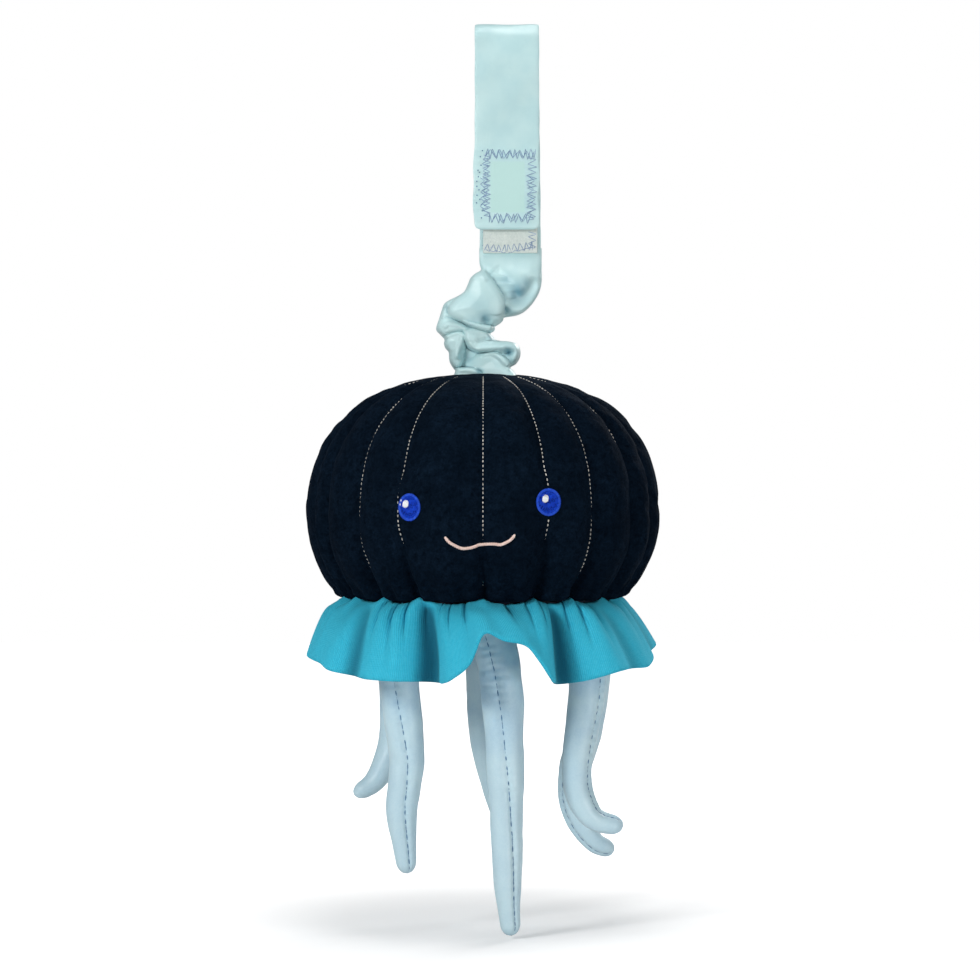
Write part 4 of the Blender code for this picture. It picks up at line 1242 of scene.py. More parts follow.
def make_tentacle(name, azimuth, route, seam_side, number):
    """Stuffed tentacle with its seam groove, folds and seam thread."""
    line, radii, length = tentacle_line(azimuth, route)
    seam_top, seam_tip = np.radians(seam_side)
    bend = np.linalg.norm(np.gradient(np.gradient(line, axis=0), axis=0), axis=1)
    bend = np.convolve(bend, np.ones(9) / 9, mode="same")
    tightness = np.clip(bend / max(bend.max(), 1e-12), 0.0, 1.0)

    def section(turn, down):
        off = np.angle(np.exp(1j * (turn - mix(seam_top, seam_tip, ease(down)))))
        rows = np.clip((down * TENTACLE_ROWS).astype(int), 0, TENTACLE_ROWS)
        pinch = 1 - SEAM_PINCH * np.exp(-np.abs(off / SEAM_PINCH_WIDTH) ** 1.4)
        flat = 1 - 0.06 * np.cos(2 * off)
        travel = down * length
        sway = 2.1 * np.sin(travel * 190 + 2 * number) + 2.2 * np.sin(off)
        fold = np.sin(2 * math.pi * travel / CROSS_FOLD_LENGTH + sway)
        fold *= 0.45 + 0.55 * np.sin(travel * 95 + 1.7 * number)
        fold *= CROSS_FOLD * np.exp(-off ** 2) * (0.35 + 0.8 * tightness[rows])
        ripple = np.sin(2 * math.pi * travel / RIPPLE_LENGTH + number) * np.exp(-(off / 0.5) ** 2)
        return pinch * flat + fold + 0.018 * ripple

    def points(around, down):
        down = 1 - down
        placed = tube_points(line, radii, around, down, section)
        rows = np.clip(np.round(down * TENTACLE_ROWS).astype(int), 0, TENTACLE_ROWS)
        uneven = 0.07 * lumps(placed, LUMP_SIZE, 2.0 + number)
        uneven += 0.022 * lumps(placed, TENTACLE_SMALL_LUMP, 9.0 + number)
        return line[rows] + (placed - line[rows]) * (1 + uneven)[:, None]

    flat_size = (2 * math.pi * TENTACLE_TOP_RADIUS, length)
    mesh = cloth_mesh(name, TENTACLE_SIDES, TENTACLE_ROWS, points, flat_size)
    piece = add_piece("velour_" + name, mesh, pale)
    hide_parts(name)
    count = int(length / THREAD_PITCH)
    spans = []
    for stitch in range(1, count - 1):
        ends = np.array([stitch - 0.12, stitch + 1.12]) / count
        around = mix(seam_top, seam_tip, ease(ends)) / (2 * math.pi)
        spans.append(tuple(points(around, 1 - ends)))
    stitches(name + "_seam_thread", spans, THREAD_RADIUS, threads["blue sewing thread"])
    print(piece.name, round(length * 1000), "mm long,", count_triangles(piece), "triangles")


for tentacle_number, (tentacle_name, plan) in enumerate(TENTACLE_ROUTES.items()):
    make_tentacle(tentacle_name, *plan, tentacle_number)

# %% [markdown]
# ## The strap
# The strap is a flat tube of satin, pressed into a band. It rises behind, folds over at the
# top and comes down in front as a flap. The band could be a Solidify on a flat sheet, but
# pressed satin has round edges, so the grid goes round the band's thin section and the
# flat map follows the cloth.

# %% Route of the strap
STRAP_WIDTH = 0.025
STRAP_END_WIDTH = 0.0238
STRAP_THICKNESS = 0.0014
LOOP_RADIUS = 0.005
FLAP_DROP = 0.0788
BACK_DROP = 0.0866
BACK_LEAN = 0.0013
RUN_OFFSET = 0.00225
CLOSED_DROP = 0.0448
FLAP_CORNER = 0.0022
STRAP_SAMPLES = 600


def run_distance(drop):
    """Distance of each run of the strap from the middle at a drop below the loop."""
    fold = LOOP_RADIUS + STRAP_THICKNESS / 2
    return mix(fold, RUN_OFFSET, ease((drop - LOOP_RADIUS) / (CLOSED_DROP - LOOP_RADIUS)))


def strap_line():
    """Depth and level of the band's middle from its lower end behind to the flap's end."""
    behind, flap = np.linspace(BACK_DROP, LOOP_RADIUS, 120), np.linspace(LOOP_RADIUS, FLAP_DROP, 120)
    fold = LOOP_RADIUS + STRAP_THICKNESS / 2
    turn = np.linspace(0.0, math.pi, 48)[1:-1]
    depth = np.concatenate([run_distance(behind), fold * np.cos(turn), -run_distance(flap)])
    level = np.concatenate([-behind, -LOOP_RADIUS + fold * np.sin(turn), -flap])
    return np.stack([depth, level], axis=1)


STRAP_LINE = spread_evenly(strap_line(), STRAP_SAMPLES)
STRAP_LENGTH = line_length(STRAP_LINE)
print("strap is", round(STRAP_LENGTH * 1000), "mm long")

# %% Press and fold the strap
STRAP_SIDES = 120
STRAP_ROWS = 330
LOOP_LEAN = 0.0024
PATCH_DROP = 0.0625
PUCKER_LENGTH = 0.0037
PRESSED_CORNERS = ((489.0, 161.5), (525.5, 214.0))
PRESSED_EDGE = 0.0007


def strap_points(around, along):
    """Round the band's thin section at every step along it."""
    place = along * (len(STRAP_LINE) - 1)
    depth, level = read_rows(STRAP_LINE, place)
    slope = np.gradient(STRAP_LINE, axis=0)
    slope /= np.linalg.norm(slope, axis=1)[:, None]
    run_y, run_z = read_rows(slope, place)
    travel = along * STRAP_LENGTH
    from_flap = STRAP_LENGTH - travel
    behind = ease(-level / BACK_DROP) * (depth > 0)
    half = mix(STRAP_WIDTH, STRAP_END_WIDTH, behind) / 2
    half = half - FLAP_CORNER * (1 - round_edge(from_flap / FLAP_CORNER))
    by_patch = bump_at(-level, PATCH_DROP, 0.014) * (depth < 0)
    turn = 2 * math.pi * around
    cosine, sine = np.cos(turn), np.sin(turn)
    across = np.sign(cosine) * np.abs(cosine) ** 0.35
    thin = np.sign(sine) * np.abs(sine) ** 0.55
    left = across < 0
    half = half + by_patch * left * 0.0007
    half = half + 0.00022 * np.sin(travel * 380 + 2.0 * left) * (0.3 + by_patch)
    closing = np.sqrt(np.clip(np.minimum(travel, from_flap) / 0.0005, 0.0, 1.0))
    thickness = STRAP_THICKNESS / 2 * mix(0.12, 1.0, closing)
    in_band = mix(1.0, 0.72, bump_at(np.abs(across), 0.78, 0.17) * by_patch)
    lift = thin * thickness * in_band
    share = across * half / (STRAP_WIDTH / 2)
    wave = 0.00032 * np.sin(travel * 120 + 2.2 * share) * (1 - np.abs(share) ** 3 * 0.3)
    wave += 0.00016 * np.sin(travel * 310 + 4.0 * share + 1.0)
    pucker = 0.00016 * np.sin(travel * 2 * math.pi / PUCKER_LENGTH + 3 * share)
    pucker *= bump_at(np.abs(share), 0.80, 0.25) * by_patch
    open_run = ease((CLOSED_DROP + level) / 0.02) * ease((-level + 0.004) / 0.012)
    wave = wave * mix(0.25, 1.0, open_run) + pucker
    shift = lift + wave
    leaning = LOOP_LEAN * ease((share + 1.1) / 2.2) * ease(-depth / LOOP_RADIUS)
    leaning *= 1 - ease(-level / (0.012 + 0.007 * share))
    x = BACK_LEAN * behind + across * half
    return np.stack([x, depth + run_z * shift + leaning, level - run_y * shift], axis=1)


def between(value, low, high):
    """Share of 1 between two edges that are a little soft."""
    return ease((value - low) / PRESSED_EDGE) * ease((high - value) / PRESSED_EDGE)


strap_flat = (2 * STRAP_WIDTH, STRAP_LENGTH)
strap_mesh = cloth_mesh("satin_strap", STRAP_SIDES, STRAP_ROWS, strap_points, strap_flat)
(patch_left, patch_top), (patch_right, patch_low) = (place_of(corner) for corner in PRESSED_CORNERS)
strap_x, strap_y, strap_z = points_of(strap_mesh).T
pressed = between(strap_x, patch_left, patch_right) * between(strap_z, patch_low, patch_top)
mark_points(strap_mesh, "pressed", pressed * (strap_y < 0))
strap = add_piece("satin_strap", strap_mesh, satin)
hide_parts("strap_band")
print("strap has", count_triangles(strap), "triangles")

# %% [markdown]
# ## Where thread meets cloth
# Thread is sewn on a finished surface, so its places are found by looking straight back
# at the cloth from the camera's side. A ray through the mesh gives the point and the
# direction that the cloth faces there.

# %% Surface finder
def face_finder(*pieces):
    """Function that finds the first cloth behind a place across and up."""
    trees = []
    for piece in pieces:
        evaluated = piece.evaluated_get(bpy.context.evaluated_depsgraph_get())
        mesh = evaluated.to_mesh()
        corners = [vertex.co.copy() for vertex in mesh.vertices]
        faces = [tuple(polygon.vertices) for polygon in mesh.polygons]
        trees.append(BVHTree.FromPolygons(corners, faces))
        evaluated.to_mesh_clear()

    def find(across, up, raised=0.0):
        start, ahead = Vector((across, -1.0, up)), Vector((0.0, 1.0, 0.0))
        hits = [hit for hit in (tree.ray_cast(start, ahead) for tree in trees) if hit[0] is not None]
        if not hits:
            return None
        place, normal, _, _ = min(hits, key=lambda hit: hit[3])
        return place + (normal if normal.y < 0 else -normal) * raised

    return find


find_strap = face_finder(strap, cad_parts["loop_patch"])
print("flap front at y =", round(find_strap(0.0, -0.06).y, 5))

# %% [markdown]
# ## Zigzag stitching on the strap
# Both halves of the fastener are sewn on by hand-guided zigzag in slate blue thread, so
# the teeth lean and crowd unevenly. Along the flap's left side the needle missed the tape
# and left a scatter of small holes, whose shadows are painted as small dark blue beads.
# Places are given in the photograph's pixels, because that is where the stitches were
# counted.

# %% Zigzag thread
ZIGZAG_RADIUS = 0.00014
ZIGZAG_RAISED = 0.00007
HOLE_SHADOW_RADIUS = 0.00030
HOLE_SHADOW_HALF = Vector((0.0, 0.0, 0.00028))
FLAP_ZIGZAG = (
    ((485.0, 155.0), (535.0, 155.0), 10.0, 2.7), ((486.0, 154.0), (534.0, 156.5), 8.0, 4.6),
    ((531.5, 158.0), (531.5, 218.0), 10.0, 3.1), ((530.0, 176.0), (530.5, 221.0), 8.0, 4.9),
    ((531.0, 219.0), (489.0, 219.0), 10.0, 3.0), ((528.0, 218.0), (492.0, 218.5), 9.0, 5.2),
    ((486.8, 218.0), (486.8, 156.0), 7.0, 2.3), ((485.6, 214.0), (485.6, 160.0), 6.0, 3.3),
    ((482.5, 210.0), (482.5, 178.0), 4.0, 3.6),
)
LOOP_ZIGZAG = (
    ((486.5, 232.0), (486.5, 249.0), 8.5, 3.2), ((484.5, 247.0), (506.0, 248.6), 8.0, 2.9),
    ((506.0, 248.6), (532.0, 245.5), 9.0, 2.9), ((532.0, 247.5), (532.4, 232.0), 9.0, 3.4),
    ((483.0, 249.8), (508.0, 252.6), 0.8, 2.6), ((508.0, 252.6), (536.0, 246.8), 0.8, 2.6),
)
# Places of the needle holes, each drawn as a small dark blue bead: a painted shadow of the hole.
NEEDLE_HOLE_SHADOWS = (
    (482.4, 151.5), (480.3, 157.5), (478.0, 171.0), (481.0, 166.0), (479.6, 173.0),
    (476.8, 182.0), (478.4, 177.5), (476.9, 187.0), (479.0, 190.5), (477.0, 196.0),
    (479.9, 200.0), (476.6, 203.5), (481.3, 205.5), (482.2, 211.5), (481.5, 218.5),
)


def zigzag(rows, unevenness, seed):
    """Bead ends of rows of zigzag: start, end, width and step of each row, in pixels."""
    draw = np.random.default_rng(seed)
    spans = []
    for start, end, width, step in rows:
        start, end = np.array(start), np.array(end)
        reach = np.linalg.norm(end - start)
        along = (end - start) / reach
        side = np.array([-along[1], along[0]])
        count = int(reach / step) + 1
        corners = []
        for tooth in range(count + 1):
            wander = draw.uniform(-1.0, 1.0, 2) * unevenness
            corner = start + along * (min(tooth * step, reach) + wander[0])
            corners.append(corner + side * (width / 2 * (-1) ** tooth + wander[1]))
        for first, second in zip(corners, corners[1:]):
            ends = [find_strap(*place_of(corner), ZIGZAG_RAISED) for corner in (first, second)]
            if None not in ends:
                spans.append(ends)
    return spans


slate = threads["slate blue sewing thread"]
flap_spans = zigzag(FLAP_ZIGZAG, 0.9, 11)
flap_thread = stitches("flap_zigzag", flap_spans, ZIGZAG_RADIUS, slate)
loop_spans = zigzag(LOOP_ZIGZAG, 0.6, 12)
loop_thread = stitches("loop_zigzag", loop_spans, ZIGZAG_RADIUS, slate)
# painted shadow: each hole is a bead of dark blue thread, half sunk in the satin
hole_shadow_places = [find_strap(*place_of(hole)) for hole in NEEDLE_HOLE_SHADOWS]
hole_shadow_spans = [(place - HOLE_SHADOW_HALF, place + HOLE_SHADOW_HALF) for place in hole_shadow_places]
stitches("needle_hole_shadows", hole_shadow_spans, HOLE_SHADOW_RADIUS, threads["blue sewing thread"])
print("zigzag", count_triangles(flap_thread, loop_thread), "triangles")

# %% [markdown]
# ## Embroidered eyes
# Each eye is a filled oval of blue thread with a rim of short stitches across its edge and
# a white glint. Embroidery could be a bump on a disc, but its relief shows at this size,
# so the fill is laid in short staggered stitches, as a machine lays it.

# %% Eye threads
FILL_SPACING = 0.00031
FILL_STITCH = 0.0031
FILL_RADIUS = 0.00022
FILL_MARGIN = 0.0008
RIM_SPACING = 0.00034
RIM_WIDTH = 0.0011
RIM_RADIUS = 0.00021
GLINT_SHIFT = (-0.0013, 0.0012)
GLINT_SIZE = (0.0023, 0.0032)
GLINT_SPACING = 0.00030
GLINT_STITCH = 0.006
GLINT_RADIUS = 0.00027
FLECKS = ((401.5, 500.5), (400.6, 504.5))
FLECK_HALF = 0.0004
find_bell = face_finder(bell)


def oval_fill(centre, size, slant, raised, spacing, stitch):
    """Staggered stitches that fill an oval on the bell."""
    spans = []
    columns = int(size[0] / spacing)
    for column in range(columns + 1):
        across = -size[0] / 2 + size[0] * column / columns
        half = size[1] / 2 * math.sqrt(max(1 - (2 * across / size[0]) ** 2, 0.0)) * 0.97
        if half < 0.0003:
            continue
        low = -half
        reach = stitch * (0.35 + 0.5 * ((column * 7) % 5) / 5)
        while low < half - 1e-5:
            high = min(low + reach, half)
            ends = [(centre[0] + across + slant * up, centre[1] + up) for up in (low, high)]
            spans.append([find_bell(*end, raised) for end in ends])
            low, reach = high, stitch
    return spans


def oval_rim(centre, size, width, raised):
    """Short stitches across the edge of an oval, leaning a little."""
    spans = []
    count = int(math.pi * (size[0] + size[1]) / 2 / RIM_SPACING)
    for turn in (2 * math.pi * stitch / count for stitch in range(count)):
        ends = []
        for reach, lean in ((-width / 2, -0.03), (width / 2, 0.03)):
            across = (size[0] / 2 + reach) * math.cos(turn + lean)
            up = (size[1] / 2 + reach) * math.sin(turn + lean)
            ends.append(find_bell(centre[0] + across, centre[1] + up, raised))
        spans.append(ends)
    return spans


for side_name, (eye_place, eye_size) in EYES.items():
    eye_name = side_name + "_eye"
    centre = (AXIS_X + eye_place[0], RING_LEVEL + eye_place[1])
    fill_size = (eye_size[0] - FILL_MARGIN, eye_size[1] - FILL_MARGIN)
    fill_spans = oval_fill(centre, fill_size, 0.12, 0.00030, FILL_SPACING, FILL_STITCH)
    rim_size = (eye_size[0] - RIM_WIDTH * 0.75, eye_size[1] - RIM_WIDTH * 0.75)
    rim_spans = oval_rim(centre, rim_size, RIM_WIDTH, 0.00042)
    glint_centre = (centre[0] + GLINT_SHIFT[0], centre[1] + GLINT_SHIFT[1])
    glint_spans = oval_fill(glint_centre, GLINT_SIZE, 0.08, 0.00066, GLINT_SPACING, GLINT_STITCH)
    for fleck in FLECKS if side_name == "left" else ():
        across, up = place_of(fleck, -BELL_RADIUS)
        glint_spans.append([find_bell(across, up + half, 0.00060) for half in (-FLECK_HALF, FLECK_HALF)])
    blue, light_blue = threads["blue embroidery thread"], threads["light blue embroidery thread"]
    white = threads["white embroidery thread"]
    fill = stitches(eye_name + "_fill", fill_spans, FILL_RADIUS, blue)
    rim = stitches(eye_name + "_rim", rim_spans, RIM_RADIUS, light_blue)
    glint = stitches(eye_name + "_glint_thread", glint_spans, GLINT_RADIUS, white)
    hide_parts(eye_name)
    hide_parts(eye_name + "_glint")
    print(side_name, "eye:", count_triangles(fill, rim, glint), "triangles")

# %% [markdown]
# ## The smile
# The smile is a row of peach stem stitch, which lies on the cloth like a thin twisted
# cord. Two strands wound round each other give that look from any side.

# %% Twisted smile
SMILE_POINTS = (
    (-0.01411, -0.00790), (-0.01260, -0.00978), (-0.01072, -0.01096), (-0.00792, -0.01222),
    (-0.00509, -0.01213), (-0.00321, -0.01166), (-0.00133, -0.01096), (0.00195, -0.01062),
    (0.00430, -0.01062), (0.00640, -0.01084), (0.00854, -0.01004), (0.01042, -0.00886),
    (0.01181, -0.00705),
)
SMILE_STRAND = 0.00032
SMILE_SWING = 0.00030
SMILE_RAISED = 0.00045
SMILE_TWIST = 0.0017
SMILE_ROWS = 240
SMILE_SMOOTH = 25

smile_flat = smooth_line(SMILE_POINTS, SMILE_ROWS + 1)
smile_line = np.array([find_bell(AXIS_X + across, RING_LEVEL + up) for across, up in smile_flat])
padded_depth = np.pad(smile_line[:, 1], SMILE_SMOOTH // 2, mode="edge")
smooth_depth = np.convolve(padded_depth, np.ones(SMILE_SMOOTH) / SMILE_SMOOTH, mode="valid")
smile_line[:, 1] = smooth_depth - SMILE_RAISED
smile_length = line_length(smile_line)
smile_side, smile_up = line_frames(smile_line)
smile_share = np.linspace(0.0, 1.0, SMILE_ROWS + 1)
from_end = np.minimum(smile_share, 1 - smile_share)
strand_radii = SMILE_STRAND * np.sqrt(np.clip(from_end / 0.012, 0.0, 1.0))
smile_shape = bmesh.new()
for strand in range(2):
    wind = 2 * math.pi * smile_share * smile_length / SMILE_TWIST + math.pi * strand
    swing = smile_side * np.cos(wind)[:, None] + smile_up * np.sin(wind)[:, None]
    strand_line = smile_line + SMILE_SWING * swing * ease(from_end / 0.03)[:, None]

    def strand_points(around, along, line=strand_line):
        return tube_points(line, strand_radii, around, along)

    strand_mesh = cloth_mesh("smile_strand", 8, SMILE_ROWS, strand_points, (0.002, smile_length))
    smile_shape.from_mesh(strand_mesh)
smile_mesh = bpy.data.meshes.new("smile_cord")
smile_shape.to_mesh(smile_mesh)
smile_shape.free()
smile = add_piece("smile_cord", smile_mesh, threads["peach embroidery thread"])
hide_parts("smile")
print("smile is", round(smile_length * 1000, 1), "mm long")

# %% [markdown]
# ## The scrunched sleeve
# A satin tube much longer than the space it hangs in is pulled short by the elastic inside
# it, so it stacks up in soft lobes that lean on each other. A cloth simulation would stack
# it in its own way each time a size changed. Here the lobes are laid one by one. Each is an
# outline on the front of the tube, in the photograph's pixels, with how far it stands out,
# its height, the roll along its edge, all in millimetres, and sometimes a tilt. Ridges and
# valleys are lines with a height and a width, shade spots are places with a reach and a share
# of painted shadow, which a negative share clears, and the tube's own rings carry the folds
# round to the back.

# %% Outline and lobes of the sleeve
SLEEVE_LEFT = (
    (250.0, 480.3), (262.0, 480.5), (270.0, 481.8), (274.5, 475.5), (278.5, 471.3), (284.0, 469.0),
    (292.0, 465.0), (297.0, 458.0), (300.5, 450.5), (304.5, 445.0), (311.0, 442.5), (319.0, 440.0),
    (329.0, 437.2), (334.0, 441.0), (339.0, 445.3), (344.0, 445.0), (348.0, 446.5), (352.0, 449.6),
    (361.0, 450.5), (367.5, 454.0), (370.5, 456.2), (375.0, 455.0), (380.0, 454.0),
)
SLEEVE_RIGHT = (
    (250.0, 540.8), (270.0, 540.8), (280.0, 540.8), (290.0, 539.0), (298.0, 535.0), (305.0, 530.0),
    (311.0, 523.5), (314.5, 516.0), (316.5, 504.0), (320.0, 502.0), (323.0, 499.0), (326.0, 494.3),
    (330.0, 493.6), (333.0, 489.5), (338.0, 493.0), (341.3, 497.0), (343.0, 510.0), (345.0, 516.5),
    (350.0, 519.3), (357.0, 519.0), (363.0, 515.5), (366.0, 510.5), (368.5, 509.5), (371.0, 512.0),
    (376.5, 516.0), (380.0, 517.0),
)
SLEEVE_LOBES = (
    ("strap end", ((480, 236), (541, 236), (541, 281), (539, 290), (535, 298), (530, 305), (523, 311),
        (516, 315), (504, 316.5), (498, 312), (488, 290), (480, 270)), 1.8, 1.8, 2.2),
    ("upper left tuck", ((452, 299), (446, 303), (442, 311), (440, 319), (448, 324), (458, 326),
        (462, 312), (462, 300)), 3.2, 2.4, 1.6),
    ("second lobe", ((439, 318), (436, 329), (441, 335), (446, 341), (458, 338), (470, 342), (486, 341),
        (497, 342), (492, 336), (486, 331), (474, 328), (462, 323), (450, 318)), 4.4, 3.0, 2.6, 0.07,
        0.0),
    ("left drape", ((446, 337), (444, 344), (447, 349), (449, 356), (450, 362), (455, 370), (461, 366),
        (464, 352), (466, 342), (460, 333), (450, 334)), 4.2, 2.8, 2.2),
    ("base", ((454, 366), (462, 362), (476, 356), (492, 350), (504, 357), (512, 369), (518, 380),
        (453, 380)), 5.0, 2.6, 2.0, 0.08, 0.20),
    ("base lip", ((455, 369), (466, 368.5), (478, 371), (485, 377), (483, 382), (453, 382)), 6.6, 1.5,
        1.1),
    ("long fold", ((463, 331), (474, 329), (486, 331), (492, 337), (497, 342), (512, 341.5), (518, 345),
        (520, 352), (519, 359), (514, 365), (509, 367), (504, 362), (500, 356), (490, 352), (478, 352),
        (470, 349), (465, 341)), 6.2, 3.0, 1.9),
    ("first lobe", ((482, 270), (475, 274), (470, 279), (468, 285), (464, 293), (456, 300), (449, 309),
        (451, 317), (461, 322), (470, 327), (480, 328.5), (486, 326), (494, 325.5), (500, 322),
        (503, 316), (504, 305), (502, 297), (496, 287), (490, 279), (485, 272)), 7.0, 3.6, 3.2),
    ("first lobe lip", ((462, 321), (470, 323.5), (480, 325.5), (489, 326.5), (494, 328), (493, 332),
        (485, 331.5), (474, 328.5)), 8.0, 1.5, 1.0),
)
SLEEVE_RIDGES = (
    (((485, 273), (491, 280), (497, 288), (502, 297), (504, 306), (503, 315)), 0.9, 0.8),
    (((503, 302), (508, 307), (513, 310.5), (520, 311.5), (527, 308), (533, 302), (538, 293), (540, 284)),
        1.7, 0.9),
    (((459, 334), (462, 338), (460, 346), (457.5, 353), (456.5, 361)), 1.5, 0.8),
    (((473, 352.5), (480, 351), (490, 349.5), (500, 348.5), (510, 348), (515.5, 350.5), (516, 356),
        (511, 363)), 2.6, 1.3),
    (((463, 333), (467, 340), (472, 347), (477, 350.5)), 1.2, 0.7),
    (((467, 328), (476, 331), (486, 333.5), (492, 337)), 0.8, 0.8),
    (((480, 356), (488, 353.5), (495, 355), (503, 361), (512, 373)), 1.6, 1.0),
    (((471, 281), (476, 279), (482, 279), (488, 284)), 0.8, 1.4),
    (((441, 329), (449, 325), (458, 326), (468, 331)), 0.9, 0.9),
    (((456, 372), (466, 371), (476, 373.5), (483, 377.5)), 0.8, 0.6),
)
SLEEVE_VALLEYS = (
    (((492, 268), (502, 281), (511, 293), (520, 298), (529, 291), (535, 276)), 2.5, 2.6),
    (((485, 266), (492, 277), (499, 288), (505, 298)), 1.0, 0.8),
    (((506, 305.5), (505, 310), (508, 314)), 1.4, 0.8),
    (((481, 318), (486, 321), (492, 324)), 2.6, 1.1),
    (((443, 317), (452, 319), (462, 323), (470, 327), (480, 330), (488, 332)), 0.9, 0.6),
    (((441, 338), (450, 334), (458, 332), (464, 333), (467, 341), (472, 350), (480, 353.5), (490, 353),
        (499, 351.5)), 1.8, 0.55),
    (((463, 345), (461.5, 353), (460, 363)), 2.0, 1.0),
    (((475, 369), (481, 372.5), (484, 376)), 2.0, 0.7),
    (((503, 352), (509, 353), (512, 357)), 2.8, 1.2),
    (((475, 342.5), (482, 341.5), (490, 341)), 1.4, 1.3),
    (((448, 306), (447, 312), (450, 316)), 1.3, 0.8),
    (((453, 368), (462, 368.5), (470, 367)), 1.4, 0.6),
)
# Places of painted shadow on the sleeve: across, down, reach and share; a negative share clears it.
SLEEVE_SHADE_SPOTS = (
    (519.0, 294.0, 10.5, 1.0), (527.0, 285.0, 8.0, 0.60), (506.0, 281.0, 6.0, 0.50),
    (484.0, 319.0, 6.5, 0.62), (474.0, 321.0, 6.0, 0.25), (508.0, 353.0, 4.5, 0.95),
    (468.0, 358.0, 5.0, 0.60), (479.0, 372.5, 3.2, 0.95), (508.0, 310.0, 3.5, 0.50),
    (492.0, 338.0, 4.5, 0.45), (447.0, 308.0, 3.0, 0.35), (478.0, 307.0, 9.0, 0.20),
    (488.0, 363.0, 9.0, -1.0), (478.0, 281.0, 9.0, -1.0),
)
# The painted fold shade: reach of the soft average, where the shade starts, how fast it grows and its
# strongest share.
FOLD_REACH = 12
FOLD_STARTS = 0.15
FOLD_FULL = 1.1
SLEEVE_FOLD_SHADE = 0.80
print(len(SLEEVE_LOBES), "lobes,", len(SLEEVE_RIDGES), "ridges,", len(SLEEVE_VALLEYS), "valleys")

# %% Relief of the sleeve's front
RELIEF_LOW = (430.0, 244.0)
RELIEF_HIGH = (548.0, 386.0)
RELIEF_STEP = 0.4
STROKE_FADE = 5.0


def distance_to(points, line, closed):
    """Distance of each place from a line of points, and of its nearest point from an end."""
    line = np.array(line, float)
    if closed:
        line = np.vstack([line, line[:1]])
    best = np.full(len(points), 1e9)
    along = np.zeros(len(points))
    travelled = 0.0
    for start, end in zip(line, line[1:]):
        reach = end - start
        share = np.clip(((points - start) @ reach) / max(reach @ reach, 1e-9), 0.0, 1.0)
        away = np.linalg.norm(points - start - share[:, None] * reach, axis=1)
        along = np.where(away < best, travelled + share * np.linalg.norm(reach), along)
        best = np.minimum(best, away)
        travelled += np.linalg.norm(reach)
    return best, np.minimum(along, travelled - along)


def inside(points, outline):
    """Whether each place lies in an outline."""
    outline = np.array(outline, float)
    odd = np.zeros(len(points), bool)
    for start, end in zip(outline, np.roll(outline, -1, axis=0)):
        if start[1] == end[1]:
            continue
        crosses = (start[1] > points[:, 1]) != (end[1] > points[:, 1])
        where = start[0] + (points[:, 1] - start[1]) * (end[0] - start[0]) / (end[1] - start[1])
        odd ^= crosses & (points[:, 0] < where)
    return odd


def blur(relief, times):
    """Soften a relief a little, as cloth is never sharp."""
    for _ in range(times):
        padded = np.pad(relief, 1, mode="edge")
        beside = padded[:-2, 1:-1] + padded[2:, 1:-1] + padded[1:-1, :-2] + padded[1:-1, 2:]
        relief = (beside + 4 * relief) / 8
    return relief


def soften(values, reach):
    """Wide soft average of a map of the front, over a reach in grid steps."""
    kernel = np.hanning(2 * reach + 1) / reach
    for axis in (0, 1):
        edges = [(reach, reach) if axis == side else (0, 0) for side in (0, 1)]
        padded = np.pad(values, edges, mode="edge")
        values = np.apply_along_axis(np.convolve, axis, padded, kernel, "valid")
    return values


def sleeve_relief():
    """How far each place on the front stands out of the sleeve's middle, in millimetres."""
    columns = np.arange(RELIEF_LOW[0], RELIEF_HIGH[0], RELIEF_STEP)
    rows = np.arange(RELIEF_LOW[1], RELIEF_HIGH[1], RELIEF_STEP)
    across, down = np.meshgrid(columns, rows)
    places = np.stack([across.ravel(), down.ravel()], axis=1)
    relief = np.zeros(len(places))
    for _, outline, stand, height, roll, *tilt in SLEEVE_LOBES:
        outline = smooth_line(list(outline) + [outline[0]], 4 * len(outline))[:-1]
        deep = distance_to(places, outline, closed=True)[0] * PIXEL * 1000
        lobe = stand - height + height * round_edge(deep / roll) + 0.25 * np.clip(deep - roll, 0.0, 3.0)
        if tilt:
            lobe = lobe + (places[:, 1] - outline[:, 1].mean()) * tilt[0]
            lobe = lobe + (places[:, 0] - outline[:, 0].mean()) * tilt[1]
        relief = np.where(inside(places, outline), np.maximum(relief, lobe), relief)
    relief = blur(relief.reshape(across.shape), 3).ravel()
    for lines, sign in ((SLEEVE_RIDGES, 1.0), (SLEEVE_VALLEYS, -1.0)):
        for line, height, width in lines:
            path = smooth_line(line, 4 * len(line))
            away, from_end = distance_to(places, path, closed=False)
            fading = ease(from_end / min(STROKE_FADE, 0.35 * line_length(path)))
            relief += sign * 0.8 * height * fading * np.exp(-(away * PIXEL * 1000 / width) ** 2)
    return blur(relief.reshape(across.shape), 2)


RELIEF = sleeve_relief()


def sleeve_painted_shade():
    """Share from 0 to 1 of painted shade at each place on the sleeve's front, in its folds and hollows."""
    folded = soften(RELIEF, FOLD_REACH) - RELIEF
    folded = np.clip((folded - FOLD_STARTS) / FOLD_FULL, 0.0, 1.0) * SLEEVE_FOLD_SHADE
    across = RELIEF_LOW[0] + RELIEF_STEP * np.arange(folded.shape[1])[None, :]
    down = RELIEF_LOW[1] + RELIEF_STEP * np.arange(folded.shape[0])[:, None]
    for x, y, reach, share in SLEEVE_SHADE_SPOTS:
        near = np.exp(-(np.hypot(across - x, down - y) / reach) ** 2)
        folded = folded * (1 - near) if share < 0 else np.maximum(folded, share * near)
    return folded


SLEEVE_SHADE_MAP = sleeve_painted_shade()
print("relief from", round(float(RELIEF.min()), 1), "to", round(float(RELIEF.max()), 1), "mm")

